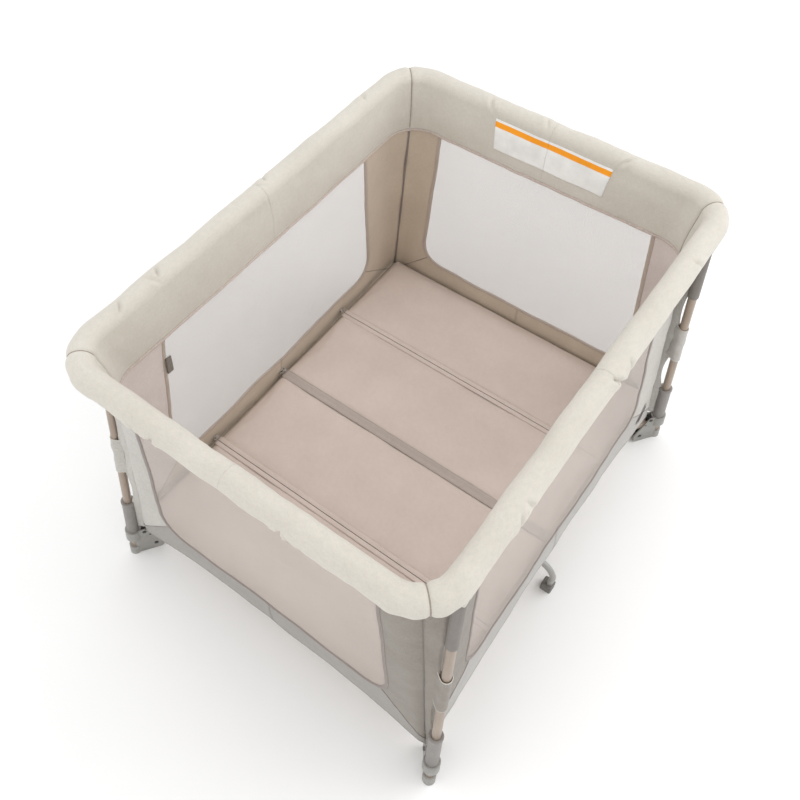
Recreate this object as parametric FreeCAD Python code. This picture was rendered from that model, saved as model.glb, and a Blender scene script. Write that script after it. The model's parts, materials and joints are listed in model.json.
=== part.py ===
"""Folding playpen with a padded top rail, fabric walls, a four-panel mattress pad and a collapsing frame.

Millimetres, +Z up. The origin is on the floor under the middle of the pen, X runs along its length.
Each corner is named front or rear (-Y or +Y) and left or right (-X or +X). Corner pieces are drawn
once, for the rear right corner, and mirrored. The frame folds like this: the hub is pulled up, the four
floor bars swing down beside it and draw the posts together, and each half of the top rail drops at its
corner pivot and at the latch in the middle of its side.
"""
import FreeCAD, Part
import math
import os

V = FreeCAD.Vector

# Overall layout
rail_length = 1002.0        # between the centre lines of the two short top rails
rail_width = 746.0          # between the centre lines of the two long top rails
rail_height = 760.0         # floor to the rails' centre line
post_inset = 76.0           # post's top, inboard of the short rail's centre line
post_outset = 1.0           # post's top, outboard of the long rail's centre line
foot_splay_x = 81.0         # post's foot, outboard of its top
foot_splay_y = 40.0
corner_radius = 75.0        # of the rail's centre line, in plan

# Posts
post_radius = 9.0
post_wall = 1.2
post_seat = 5.0             # height of the tube's lower end above the floor
post_top_drop = 18.0        # tube's upper end, below the rail's centre line
fit_gap = 0.1               # radial, between pieces that are fixed to each other

# Padded cover and fabric
cover_radius = 24.0
cover_gap = 0.3             # from a cover's end to the plane it meets
fabric_thickness = 2.5
soft_gap = 0.3
hem_height = 100.0
wall_top_rise = 5.0         # wall's upper edge, above the rail's centre line
hem_inset_x = 23.0          # wall at the hem, inboard of the post's foot
hem_inset_y = 26.0
half_split = 0.4            # half the gap between two quarters of the fabric

# Half rails, their pivots and the latches
rail_radius = 10.0
rail_wall = 1.2
pivot_inset_x = 32.0        # long rail's pivot, inboard of the post's top
pivot_step_y = 12.0         # short rail's pivot, beyond the end of the corner's bend
latch_pitch = 34.0          # between the two pins of a latch
tongue_thickness = 10.0
tongue_height = 16.0
tongue_length = 19.0
plug_length = 4.0
cheek_gap = 0.3
cheek_thickness = 4.2
cheek_height = 16.0
cheek_overlap = 3.0
cheek_reach = 9.0           # past the pin
pin_radius = 3.0
pin_fit = 0.02              # in the piece that holds the pin
running_gap = 0.08          # in the piece that turns on the pin
open_gap = 0.6              # at the pivot where each side's loop is left open
bore_reach = 40.0           # half length of the rod that cuts a pin's bore
cut_margin = 1.0            # how far a cut runs past the face that it opens
latch_reach = 13.0
latch_depth = 12.0
latch_web = 3.0

# Corner casting
casting_radius = 10.5
socket_radius = 11.5
socket_drop = 194.0         # socket's lower end, below the rail's centre line
socket_head_drop = 8.0      # and its upper end
casting_bore = 13.5         # hollow of the corner cover

# Foot bracket, with its fin of two plates
foot_collar_radius = 13.5
foot_collar_top = 28.0
ring_radius = 17.5
ring_bottom = 62.0
ring_top = 94.0
ring_seat = 6.0
window_gap = 2.0
sleeve_radius = 13.5
sleeve_top = 214.0
sleeve_rim = 1.2
sleeve_rim_height = 6.0
fin_start = 6.0
fin_foot = 63.0
fin_tip = 66.0
fin_tip_height = 28.0
fin_top = 38.0
fin_round = 9.0
plate_thickness = 3.0
plate_gap = 15.0            # between the two plates
rivet_radius = 2.5
rivet_head_radius = 4.5
rivet_head = 1.5
rivet_places = ((23.9119, 86.0), (47.1847, 24.0))   # inward from the post's centre line, and up

# Floor bars
bar_pivot_inset = 44.0      # inward from the post's centre on the floor
bar_pivot_height = 68.0
bar_radius = 9.5
bar_wall = 1.2
bar_end_length = 42.0
bar_end_height = 18.0
bar_end_gap = 0.3           # each side, in the plates
spigot_length = 20.0
eye_room = 2.0              # round a bar's eye end, in the hub

# Hub
hub_half_x = 78.0
hub_half_y = 74.0
hub_pad_x = 40.0            # inner edge of the corner pads
hub_pad_margin = 5.5381     # from the middle of a lug's root to the corner pad's outer edge
hub_pad_start = 60.0
hub_bottom = 54.0
hub_plate_half_x = 84.0
hub_plate_lip = 2.0         # top plate, past the corner pads
hub_plate_thickness = 8.0
hub_wall = 4.0
hub_round = 8.0
lug_height = 24.0
lug_back = 52.0
lug_reach = 11.0
strap_length = 84.0
strap_width = 25.0
strap_thickness = 2.0
strap_round = 6.0
strap_slot_margin = 4.0

# Middle legs
leg_offset = 15.0           # each leg stands this far to one side, so the two fold past each other
leg_pivot_y = 88.0
leg_radius = 7.0
leg_wall = 1.2
leg_end_width = 12.0
leg_end_height = 16.0
leg_end_length = 18.0
leg_lug_thickness = 3.0
leg_lug_reach = 9.0
leg_lug_root = 2.0          # into the hub's side, and below the leg's eye end
leg_bend_radius = 44.0
leg_bend_inset = 28.0       # bend's start, inside the hem
leg_bend_drop = 5.0         # and below the hem
leg_lean = 7.0              # degrees, inward, of the last straight stretch
leg_tip_height = 5.0
pad_size = 26.0
pad_height = 24.0
pad_round = 4.0

# Floor and mattress
floor_height = 153.3
floor_thickness = 2.4
mattress_end_gap = 2.8      # mattress to wall, at the short sides
mattress_side_gap = 9.9     # mattress to wall, at the long sides
mattress_thickness = 24.0
mattress_round = 5.0
panel_gap = 1.0
panel_count = 4

# Loop that holds the fabric to the post
loop_drop = 305.0           # loop's upper end, below the rail's centre line
loop_length = 113.0
loop_thickness = 2.0
loop_tab = 16.0

# Places that follow from the sizes above
rail_x = rail_length / 2
rail_y = rail_width / 2
top_x = rail_x - post_inset
top_y = rail_y + post_outset
foot_x = top_x + foot_splay_x
foot_y = top_y + foot_splay_y
post_top = rail_height - post_top_drop
socket_bottom = rail_height - socket_drop
socket_top = rail_height - socket_head_drop
loop_top = rail_height - loop_drop
loop_bottom = loop_top - loop_length
bend_x = rail_x - corner_radius
bend_y = rail_y - corner_radius
pivot_x = top_x - pivot_inset_x
pivot_y = bend_y - pivot_step_y
latch_half = latch_pitch / 2
reach_x = pivot_x - latch_half
reach_y = pivot_y - latch_half
bar_length = math.hypot(reach_x, reach_y)
inward = V(-reach_x / bar_length, -reach_y / bar_length, 0)
across = V(-inward.y, inward.x, 0)
foot_centre = V(foot_x, foot_y, 0)
bar_foot = foot_centre + inward * bar_pivot_inset + V(0, 0, bar_pivot_height)
bar_hub = bar_foot - V(reach_x, reach_y, 0)
lug_middle = plate_gap / 2 + plate_thickness / 2
hub_pad_y = (bar_hub - across * lug_middle + inward * lug_back).y + hub_pad_margin
hub_plate_half_y = hub_pad_y + hub_plate_lip
hub_top = floor_height - soft_gap
cheek_outer = tongue_thickness / 2 + cheek_gap + cheek_thickness
plate_outer = plate_gap / 2 + plate_thickness
bar_eye = bar_end_height / 2
wall_top = rail_height + wall_top_rise
wall_foot_x = foot_x - hem_inset_x
wall_foot_y = foot_y - hem_inset_y
leg_bend_start = wall_foot_y - leg_bend_inset
leg_bend_height = hem_height - leg_bend_drop
mattress_bottom = floor_height + floor_thickness + soft_gap
mattress_top = mattress_bottom + mattress_thickness
wall_head_x = rail_x - cover_radius - soft_gap - fabric_thickness / 2
wall_head_y = rail_y - cover_radius - soft_gap - fabric_thickness / 2
big = 4 * rail_length       # more than any length of the pen

corners = {"front_left": (-1, -1), "front_right": (1, -1), "rear_left": (-1, 1), "rear_right": (1, 1)}


def post_at(height):
    """Point on the post's centre line at a height. The posts lean inward a little as they rise."""
    part = height / rail_height
    return V(foot_x + (top_x - foot_x) * part, foot_y + (top_y - foot_y) * part, height)


def rod(start, end, radius):
    """Cylinder between two points."""
    return Part.makeCylinder(radius, (end - start).Length, start, end - start)


def tube(start, end, outer, inner):
    """Hollow cylinder between two points."""
    return rod(start, end, outer).cut(rod(start, end, inner))


def block(low, high):
    """Box between its lowest and highest corners."""
    return Part.makeBox(high[0] - low[0], high[1] - low[1], high[2] - low[2], V(*low))


def centred_block(half_x, half_y, low, high):
    """Box centred on the vertical axis."""
    return block((-half_x, -half_y, low), (half_x, half_y, high))


def fused(shapes):
    """One solid from shapes that overlap."""
    result = shapes[0]
    for shape in shapes[1:]:
        result = result.fuse(shape)
    return result.removeSplitter()


def corner_copy(shape, sx, sy):
    """Copy of a rear right piece for another corner."""
    if sx < 0:
        shape = shape.mirror(V(0, 0, 0), V(1, 0, 0))
    if sy < 0:
        shape = shape.mirror(V(0, 0, 0), V(0, 1, 0))
    return shape


def upright_edges(shape):
    """Vertical straight edges of a shape."""
    return [edge for edge in shape.Edges if edge.BoundBox.ZLength > edge.Length - soft_gap]


def bar_piece(origin, along, side, start, end, width, height):
    """Box along a direction: width across it, height upright, centred on the origin's line."""
    corners = [(start, -height / 2), (end, -height / 2), (end, height / 2), (start, height / 2)]
    base = origin - side * (width / 2)
    points = [base + along * s + V(0, 0, h) for s, h in corners]
    return Part.Face(Part.makePolygon(points + points[:1])).extrude(side * width)


def eye_end(pivot, along, side, length, width, height, bore):
    """Flat end with a round eye about its pin, reaching a length along its bar."""
    flat = bar_piece(pivot, along, side, 0, length, width, height)
    eye = rod(pivot - side * (width / 2), pivot + side * (width / 2), height / 2)
    hole = rod(pivot - side * width, pivot + side * width, bore)
    return flat.fuse(eye).removeSplitter().cut(hole)


def through_pin(pivot, side, half_length):
    """Hinge pin across a pivot."""
    return rod(pivot - side * half_length, pivot + side * half_length, pin_radius)


def corner_path_solid(radius):
    """Round bar that follows the rail from the long side's pivot round the corner to the short side's."""
    start = V(pivot_x + cover_gap, rail_y, rail_height)
    bend_start = V(bend_x, rail_y, rail_height)
    bend_end = V(rail_x, bend_y, rail_height)
    end = V(rail_x, pivot_y + cover_gap, rail_height)
    circle = Part.Wire(Part.makeCircle(radius, bend_start, V(1, 0, 0)))
    bend = Part.Face(circle).revolve(V(bend_x, bend_y, 0), V(0, 0, 1), -90)
    return fused([rod(start, bend_start, radius), bend, rod(bend_end, end, radius)])


def make_post_tube():
    """Straight steel tube from the foot bracket to the corner casting."""
    return tube(post_at(post_seat), post_at(post_top), post_radius, post_radius - post_wall)


def rivet_middle(run, height):
    """Middle of a rivet, a run inward of the post's centre line at its height."""
    lean = (post_at(height) - foot_centre).dot(inward)
    return foot_centre + inward * (lean + run) + V(0, 0, height)


def make_fin_plate(offset):
    """One plate of the fin, offset across it, from the floor up to the ring."""
    outline = [(fin_start, 0), (fin_foot, 0), (fin_tip, fin_tip_height),
               (fin_top, ring_top), (fin_start, ring_top)]
    points = [foot_centre + inward * s + across * offset + V(0, 0, z) for s, z in outline]
    plate = Part.Face(Part.makePolygon(points + points[:1])).extrude(across * plate_thickness)
    rounded = []
    for edge in plate.Edges:
        run = (edge.CenterOfMass - foot_centre).dot(inward)
        if edge.Length < plate_thickness + fit_gap and run > fin_start + cut_margin:
            rounded.append(edge)
    return plate.makeFillet(fin_round, rounded)


def make_foot_bracket():
    """Moulded foot: a collar on the floor, a ring round the sleeve, and the fin that holds the floor bar."""
    collar = rod(post_at(-foot_collar_radius), post_at(foot_collar_top), foot_collar_radius)
    ring = rod(post_at(ring_bottom), post_at(ring_top), ring_radius)
    plates = [make_fin_plate(plate_gap / 2), make_fin_plate(-plate_outer)]
    body = collar.fuse(ring).fuse(plates[0]).fuse(plates[1])
    body = body.common(centred_block(big, big, 0, big))
    above = post_at(ring_top + ring_radius)
    body = body.cut(rod(post_at(post_seat - soft_gap), above, post_radius + fit_gap))
    body = body.cut(rod(post_at(foot_collar_top), post_at(ring_bottom), post_radius + window_gap))
    body = body.cut(rod(post_at(ring_bottom + ring_seat), above, sleeve_radius + fit_gap))
    for run, height in rivet_places:
        centre = rivet_middle(run, height)
        body = body.cut(rod(centre - across * big, centre + across * big, rivet_radius + pin_fit))
    body = body.cut(rod(bar_foot - across * big, bar_foot + across * big, pin_radius + pin_fit))
    return body.removeSplitter()


def make_foot_sleeve():
    """Plastic sleeve on the lower post, seated in the bracket's ring, with a small rim at its top."""
    bottom = post_at(ring_bottom + ring_seat + soft_gap)
    body = rod(bottom, post_at(sleeve_top), sleeve_radius)
    rim = rod(post_at(sleeve_top - sleeve_rim_height), post_at(sleeve_top), sleeve_radius + sleeve_rim)
    return body.fuse(rim).cut(rod(bottom, post_at(sleeve_top), post_radius + fit_gap)).removeSplitter()


def make_corner_casting():
    """Casting in the corner: a socket for the post, a bend, and a clevis for each half rail."""
    middle = V(bend_x, rail_y, rail_height)
    circle = Part.Wire(Part.makeCircle(casting_radius, middle, V(1, 0, 0)))
    bend = Part.Face(circle).revolve(V(bend_x, bend_y, 0), V(0, 0, 1), -90)
    shank_step = tongue_height / 2 + cheek_overlap
    shank_x = pivot_x + shank_step
    shank_y = pivot_y + shank_step
    long_shank = rod(middle, V(shank_x, rail_y, rail_height), casting_radius)
    short_shank = rod(V(rail_x, bend_y, rail_height), V(rail_x, shank_y, rail_height), casting_radius)
    socket = rod(post_at(socket_bottom), post_at(socket_top), socket_radius)
    body = bend.fuse(long_shank).fuse(short_shank).fuse(socket)
    low = rail_height - cheek_height / 2
    high = rail_height + cheek_height / 2
    inner = tongue_thickness / 2 + cheek_gap
    for near, far in ((inner, cheek_outer), (-cheek_outer, -inner)):
        long_cheek = block((pivot_x - cheek_reach, rail_y + near, low),
                           (shank_x + cheek_overlap, rail_y + far, high))
        short_cheek = block((rail_x + near, pivot_y - cheek_reach, low),
                            (rail_x + far, bend_y + cheek_overlap, high))
        body = body.fuse(long_cheek).fuse(short_cheek)
    socket_end = post_at(post_top + soft_gap)
    body = body.cut(rod(post_at(socket_bottom - cut_margin), socket_end, post_radius + fit_gap))
    long_pin = V(pivot_x, rail_y, rail_height)
    short_pin = V(rail_x, pivot_y, rail_height)
    for pin, half in ((long_pin, V(0, bore_reach, 0)), (short_pin, V(bore_reach, 0, 0))):
        body = body.cut(rod(pin - half, pin + half, pin_radius + pin_fit))
    return body.removeSplitter()


def make_post_fasteners():
    """Two rivets through the fin, the floor bar's pin and the two half rails' pins, as separate solids."""
    solids = []
    for run, height in rivet_places:
        centre = rivet_middle(run, height)
        shank = rod(centre - across * plate_outer, centre + across * plate_outer, rivet_radius)
        for side in (1, -1):
            face = centre + across * (side * plate_outer)
            shank = shank.fuse(rod(face, face + across * (side * rivet_head), rivet_head_radius))
        solids.append(shank.removeSplitter())
    solids.append(through_pin(bar_foot, across, plate_outer))
    solids.append(through_pin(V(pivot_x, rail_y, rail_height), V(0, 1, 0), cheek_outer))
    solids.append(through_pin(V(rail_x, pivot_y, rail_height), V(1, 0, 0), cheek_outer))
    return Part.makeCompound(solids)


def make_floor_bar():
    """Floor bar: a tube with a flat eye end plugged into each end of it."""
    tube_start = bar_foot + inward * bar_end_length
    tube_end = bar_hub - inward * bar_end_length
    inner = bar_radius - bar_wall
    solids = [tube(tube_start, tube_end, bar_radius, inner)]
    for pivot, along in ((bar_foot, inward), (bar_hub, -inward)):
        width = plate_gap - 2 * bar_end_gap
        end = eye_end(pivot, along, across, bar_end_length, width, bar_end_height, pin_radius + running_gap)
        root = pivot + along * bar_end_length
        solids.append(end.fuse(rod(root, root + along * spigot_length, inner - fit_gap)).removeSplitter())
    return Part.makeCompound(solids)


def make_half_rail(pivot, latch_pin, side, latch_bore):
    """Half of one side's rail: a tube flattened at both ends, from its corner pivot to the latch."""
    along = (latch_pin - pivot).normalize()
    start = pivot + along * tongue_length
    end = latch_pin - along * tongue_length
    body = tube(start, end, rail_radius, rail_radius - rail_wall)
    body = body.fuse(rod(start, start + along * plug_length, rail_radius))
    body = body.fuse(rod(end - along * plug_length, end, rail_radius))
    reach = tongue_length + plug_length / 2
    bore = pin_radius + running_gap
    body = body.fuse(eye_end(pivot, along, side, reach, tongue_thickness, tongue_height, bore))
    latch_eye = eye_end(latch_pin, -along, side, reach, tongue_thickness, tongue_height, latch_bore)
    return body.fuse(latch_eye).removeSplitter()


def make_half_cover(pivot, latch_pin, side_middle):
    """Padded sleeve round a half rail, hollowed wider over the corner's clevis and over the latch."""
    along = (latch_pin - pivot).normalize()
    start = pivot + along * cover_gap
    end = side_middle - along * cover_gap
    body = rod(start, end, cover_radius).cut(rod(start, end, rail_radius + fit_gap))
    body = body.cut(rod(start, pivot + along * (tongue_length + cut_margin), casting_bore))
    latch_hollow = math.hypot(cheek_outer, latch_depth) + soft_gap
    return body.cut(rod(latch_pin - along * (latch_reach + cut_margin), end, latch_hollow))


def make_latch(centre, along, side):
    """Latch in the middle of a side: a channel, open at its top, with a pin for each half rail."""
    half = latch_half + latch_reach
    inner = tongue_thickness / 2 + cheek_gap
    height = latch_depth + cheek_height / 2
    middle = centre + V(0, 0, (cheek_height / 2 - latch_depth) / 2)
    shell = bar_piece(middle, along, side, -half, half, 2 * cheek_outer, height)
    slot_middle = centre + V(0, 0, latch_web - latch_depth + big / 2)
    shell = shell.cut(bar_piece(slot_middle, along, side, -big, big, 2 * inner, big))
    pins = []
    for step in (-latch_half, latch_half):
        place = centre + along * step
        shell = shell.cut(rod(place - side * bore_reach, place + side * bore_reach, pin_radius + pin_fit))
        pins.append(through_pin(place, side, cheek_outer))
    return Part.makeCompound([shell] + pins)


def wall_half_sizes(height):
    """Half sizes of the fabric walls' middle surface at a height."""
    part = (height - hem_height) / (wall_top - hem_height)
    return wall_foot_x + (wall_head_x - wall_foot_x) * part, wall_foot_y + (wall_head_y - wall_foot_y) * part


def pen_shell(inset):
    """Solid filling the pen from hem to wall top, its faces set in from the outer face of the fabric."""
    wires = []
    for height in (hem_height, wall_top):
        half_x, half_y = wall_half_sizes(height)
        x = half_x + fabric_thickness / 2 - inset
        y = half_y + fabric_thickness / 2 - inset
        points = [V(-x, -y, height), V(x, -y, height), V(x, y, height), V(-x, y, height)]
        wires.append(Part.makePolygon(points + points[:1]))
    return Part.makeLoft(wires, True, True)


def make_fabric_quarter():
    """A quarter of the fabric: two half walls, the padded corner of the rail and the loop on the post."""
    quarter = block((half_split, half_split, 0), (big, big, big))
    walls = pen_shell(0).cut(pen_shell(fabric_thickness)).common(quarter)
    walls = walls.cut(corner_path_solid(cover_radius))
    corner = corner_path_solid(cover_radius).cut(corner_path_solid(casting_bore))
    loop_middle = post_at((loop_bottom + loop_top) / 2)
    ring = rod(post_at(loop_bottom), post_at(loop_top), post_radius + soft_gap + loop_thickness)
    wall_here = wall_half_sizes(loop_middle.z)[1]
    tab = block((loop_middle.x - loop_tab / 2, wall_here - fabric_thickness, loop_bottom + loop_tab),
                (loop_middle.x + loop_tab / 2, loop_middle.y, loop_top - loop_tab))
    body = fused([walls, corner, ring.fuse(tab)])
    body = body.cut(rod(post_at(ring_top), post_at(post_top), post_radius + soft_gap))
    return body.cut(rod(post_at(socket_bottom - soft_gap), post_at(socket_top), socket_radius + soft_gap))


def make_hub():
    """Hub: a block with four hollow cells below, and a pair of lugs for each floor bar and middle leg."""
    plate_bottom = hub_top - hub_plate_thickness
    middle = centred_block(hub_half_x, hub_half_y, hub_bottom, plate_bottom)
    shapes = [middle, centred_block(hub_plate_half_x, hub_plate_half_y, plate_bottom, hub_top)]
    for sx, sy in corners.values():
        low_x, high_x = sorted((sx * hub_pad_x, sx * hub_half_x))
        low_y, high_y = sorted((sy * hub_pad_start, sy * hub_pad_y))
        shapes.append(block((low_x, low_y, hub_bottom), (high_x, high_y, plate_bottom)))
    body = fused(shapes)
    body = body.makeFillet(hub_round, [edge for edge in upright_edges(body) if edge.Length > lug_height])
    lugs = []
    for offset in (lug_middle, -lug_middle):
        place = bar_hub + across * offset
        lug = bar_piece(place, inward, across, -lug_reach, lug_back, plate_thickness, lug_height)
        lugs.extend(corner_copy(lug, sx, sy) for sx, sy in corners.values())
    for turn in (0, 180):
        for offset in (-1, 1):
            x = leg_offset + offset * (leg_end_width / 2 + bar_end_gap + leg_lug_thickness / 2)
            low_z = bar_pivot_height - leg_end_height / 2 - leg_lug_root
            lug = block((x - leg_lug_thickness / 2, hub_half_y - leg_lug_root, low_z),
                        (x + leg_lug_thickness / 2, leg_pivot_y + leg_lug_reach, low_z + leg_end_height))
            lugs.append(lug.rotated(V(0, 0, 0), V(0, 0, 1), turn))
    body = fused([body] + lugs)
    for pin in hub_pin_lines():
        body = body.cut(rod(pin[0], pin[1], pin_radius + pin_fit))
    for sx, sy in corners.values():
        body = body.cut(corner_copy(bar_sweep(), sx, sy))
        cell = block((hub_wall / 2, hub_wall / 2, 0),
                     (hub_half_x - hub_wall, hub_pad_start - hub_wall, plate_bottom - hub_wall))
        body = body.cut(corner_copy(cell, sx, sy))
    recess_x = strap_length / 2 + cut_margin
    recess_y = strap_width / 2 + cut_margin
    return body.cut(centred_block(recess_x, recess_y, hub_top - strap_thickness - soft_gap, hub_top))


def bar_sweep():
    """Room for a floor bar's eye end between its lugs, from level to hanging."""
    reach = bar_eye + eye_room
    slot = bar_piece(bar_hub, -inward, across, -reach, big, plate_gap, 2 * reach)
    hanging = bar_piece(bar_hub - V(0, 0, big / 2), -inward, across, -reach, big, plate_gap, big)
    return slot.fuse(hanging)


def hub_pin_lines():
    """End points of the hub's pins: one for each floor bar and one for each middle leg."""
    lines = []
    half = plate_outer
    for sx, sy in corners.values():
        start = bar_hub - across * half
        end = bar_hub + across * half
        lines.append((V(start.x * sx, start.y * sy, start.z), V(end.x * sx, end.y * sy, end.z)))
    half = leg_end_width / 2 + bar_end_gap + leg_lug_thickness
    for side in (1, -1):
        centre = V(side * leg_offset, side * leg_pivot_y, bar_pivot_height)
        lines.append((centre - V(half, 0, 0), centre + V(half, 0, 0)))
    return lines


def make_hub_pins():
    """The hub's six hinge pins, as separate solids."""
    return Part.makeCompound([rod(start, end, pin_radius) for start, end in hub_pin_lines()])


def make_pull_strap():
    """Webbing strap that lies in a recess of the hub, for pulling the hub up."""
    strap = centred_block(strap_length / 2, strap_width / 2, hub_top - strap_thickness, hub_top)
    return strap.makeFillet(strap_round, upright_edges(strap))


def leg_path():
    """Places on the rear middle leg's centre line: pivot, bend start, bend centre, bend end, and the tip."""
    pivot = V(leg_offset, leg_pivot_y, bar_pivot_height)
    bend_start = V(leg_offset, leg_bend_start, leg_bend_height)
    along = (bend_start - pivot).normalize()
    centre = bend_start + V(0, along.z, -along.y) * leg_bend_radius
    lean = math.radians(leg_lean)
    bend_end = centre + V(0, math.cos(lean), -math.sin(lean)) * leg_bend_radius
    drop = (bend_end.z - leg_tip_height) / math.cos(lean)
    tip = bend_end + V(0, -math.sin(lean), -math.cos(lean)) * drop
    return pivot, bend_start, centre, bend_end, tip


def leg_rod(radius):
    """Round bar of the leg's shape, from its eye end to its tip."""
    pivot, bend_start, centre, bend_end, tip = leg_path()
    along = (bend_start - pivot).normalize()
    turn = 90 + leg_lean + math.degrees(math.atan2(along.z, along.y))
    circle = Part.Wire(Part.makeCircle(radius, bend_start, along))
    bend = Part.Face(circle).revolve(centre, V(1, 0, 0), -turn)
    start = pivot + along * leg_end_length
    return fused([rod(start, bend_start, radius), bend, rod(bend_end, tip, radius)])


def make_leg():
    """Rear middle leg: a bent tube with a flat eye end at the hub."""
    pivot, bend_start = leg_path()[:2]
    along = (bend_start - pivot).normalize()
    start = pivot + along * leg_end_length
    reach = leg_end_length + plug_length / 2
    end = eye_end(pivot, along, V(1, 0, 0), reach, leg_end_width, leg_end_height, pin_radius + running_gap)
    body = leg_rod(leg_radius).cut(leg_rod(leg_radius - leg_wall))
    return fused([body, rod(start, start + along * plug_length, leg_radius), end])


def make_leg_pad():
    """Rubber foot on the rear middle leg's tip."""
    bend_end, tip = leg_path()[3:]
    low = V(tip.x - pad_size / 2, tip.y - pad_size / 2, 0)
    pad = Part.makeBox(pad_size, pad_size, pad_height, low)
    pad = pad.makeFillet(pad_round, [edge for edge in pad.Edges if edge.CenterOfMass.z > soft_gap])
    down = (tip - bend_end).normalize()
    return pad.cut(rod(tip + down * soft_gap, bend_end, leg_radius + fit_gap))


def make_fabric_floor():
    """Fabric floor on the hub, with a slot over the pull strap."""
    half_x, half_y = wall_half_sizes(floor_height + floor_thickness)
    edge = fabric_thickness / 2 + soft_gap
    sheet = centred_block(half_x - edge, half_y - edge, floor_height, floor_height + floor_thickness)
    slot_x = strap_length / 2 + strap_slot_margin
    slot_y = strap_width / 2 + strap_slot_margin
    return sheet.cut(centred_block(slot_x, slot_y, 0, big))


def make_mattress_panel(index):
    """One panel of the mattress pad, counted from the left."""
    wall_x, wall_y = wall_half_sizes(mattress_top)
    half_x = wall_x - fabric_thickness / 2 - mattress_end_gap
    half_y = wall_y - fabric_thickness / 2 - mattress_side_gap
    pitch = 2 * half_x / panel_count
    low = V(pitch * index - half_x + panel_gap / 2, -half_y, mattress_bottom)
    panel = Part.makeBox(pitch - panel_gap, 2 * half_y, mattress_thickness, low)
    return panel.makeFillet(mattress_round, panel.Edges)


def corner_pieces(name):
    """Every piece that repeats at the four corners, drawn for the rear right one."""
    left = name.endswith("left")
    front = name.startswith("front")
    pin_bore = pin_radius + running_gap
    open_bore = pin_radius + open_gap
    long_pivot = V(pivot_x, rail_y, rail_height)
    long_pin = V(latch_half, rail_y, rail_height)
    short_pivot = V(rail_x, pivot_y, rail_height)
    short_pin = V(rail_x, latch_half, rail_height)
    return {
        "post": make_post_tube(),
        "foot_bracket": make_foot_bracket(),
        "post_sleeve": make_foot_sleeve(),
        "corner_casting": make_corner_casting(),
        "pins_and_rivets": make_post_fasteners(),
        "fabric": make_fabric_quarter(),
        "floor_bar": make_floor_bar(),
        "long_rail": make_half_rail(long_pivot, long_pin, V(0, 1, 0), pin_bore if left else open_bore),
        "short_rail": make_half_rail(short_pivot, short_pin, V(1, 0, 0), pin_bore if front else open_bore),
        "long_cover": make_half_cover(long_pivot, long_pin, V(0, rail_y, rail_height)),
        "short_cover": make_half_cover(short_pivot, short_pin, V(rail_x, 0, rail_height)),
    }


def all_nodes():
    """Every node of the playpen, by name."""
    nodes = {"hub_body": make_hub(), "hub_pins": make_hub_pins(), "pull_strap": make_pull_strap()}
    for side, turn in (("rear", 0), ("front", 180)):
        nodes[side + "_middle_leg"] = make_leg().rotated(V(0, 0, 0), V(0, 0, 1), turn)
        nodes[side + "_leg_pad"] = make_leg_pad().rotated(V(0, 0, 0), V(0, 0, 1), turn)
    nodes["fabric_floor"] = make_fabric_floor()
    for name, (sx, sy) in corners.items():
        for piece, shape in corner_pieces(name).items():
            nodes[name + "_" + piece] = corner_copy(shape, sx, sy)
    for side, sign in (("front", -1), ("rear", 1)):
        nodes[side + "_latch"] = make_latch(V(0, sign * rail_y, rail_height), V(1, 0, 0), V(0, 1, 0))
    for side, sign in (("left", -1), ("right", 1)):
        nodes[side + "_latch"] = make_latch(V(sign * rail_x, 0, rail_height), V(0, 1, 0), V(1, 0, 0))
    for index in range(panel_count):
        nodes["mattress_panel_" + str(index + 1)] = make_mattress_panel(index)
    return nodes


os.makedirs("parts", exist_ok=True)
for node, node_shape in all_nodes().items():
    node_shape.exportStep("parts/" + node + ".step")
    print(node, len(node_shape.Solids), round(node_shape.Volume / 1000, 1), "cm3", node_shape.isValid())
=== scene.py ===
"""Looks of the folding playpen: padded rail covers, mesh walls, mattress pad, and moulded and tubular parts.

Metres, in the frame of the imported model: X along the pen, Y to its rear, Z up from the floor. Soft pieces are
drawn for the rear right corner of the pen and mirrored to the others. Each has folds of its own, because the
ripples are read at the place that the piece ends up in.
"""
import json
import math

import bmesh
import bpy
import numpy as np
from bpy.props import FloatProperty, FloatVectorProperty, IntProperty, PointerProperty
from mathutils import Matrix, Vector


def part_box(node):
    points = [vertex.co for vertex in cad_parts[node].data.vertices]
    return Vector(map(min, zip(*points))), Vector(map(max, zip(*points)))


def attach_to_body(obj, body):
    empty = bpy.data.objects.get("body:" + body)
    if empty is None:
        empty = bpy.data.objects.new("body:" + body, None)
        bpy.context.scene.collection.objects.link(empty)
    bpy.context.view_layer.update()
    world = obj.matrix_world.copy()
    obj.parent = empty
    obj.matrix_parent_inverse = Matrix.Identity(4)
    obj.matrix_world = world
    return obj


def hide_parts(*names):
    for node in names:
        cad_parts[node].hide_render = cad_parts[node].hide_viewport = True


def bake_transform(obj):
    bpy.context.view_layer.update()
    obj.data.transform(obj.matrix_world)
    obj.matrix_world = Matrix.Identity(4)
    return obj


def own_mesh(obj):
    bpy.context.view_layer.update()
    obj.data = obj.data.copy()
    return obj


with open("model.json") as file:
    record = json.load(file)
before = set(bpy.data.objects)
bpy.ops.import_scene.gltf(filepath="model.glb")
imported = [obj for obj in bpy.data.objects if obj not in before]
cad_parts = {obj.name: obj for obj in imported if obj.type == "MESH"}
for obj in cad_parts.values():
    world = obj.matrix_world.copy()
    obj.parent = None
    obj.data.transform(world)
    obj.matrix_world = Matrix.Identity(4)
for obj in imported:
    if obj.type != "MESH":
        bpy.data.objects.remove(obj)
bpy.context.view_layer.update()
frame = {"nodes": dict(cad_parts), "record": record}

bl_info = {
    "name": "Folding playpen",
    "version": (1, 0, 0),
    "blender": (4, 5, 0),
    "location": "View3D > Sidebar > Playpen",
    "description": "Builds the soft goods and finishes of a folding playpen around its frame",
    "category": "Object",
}

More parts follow.
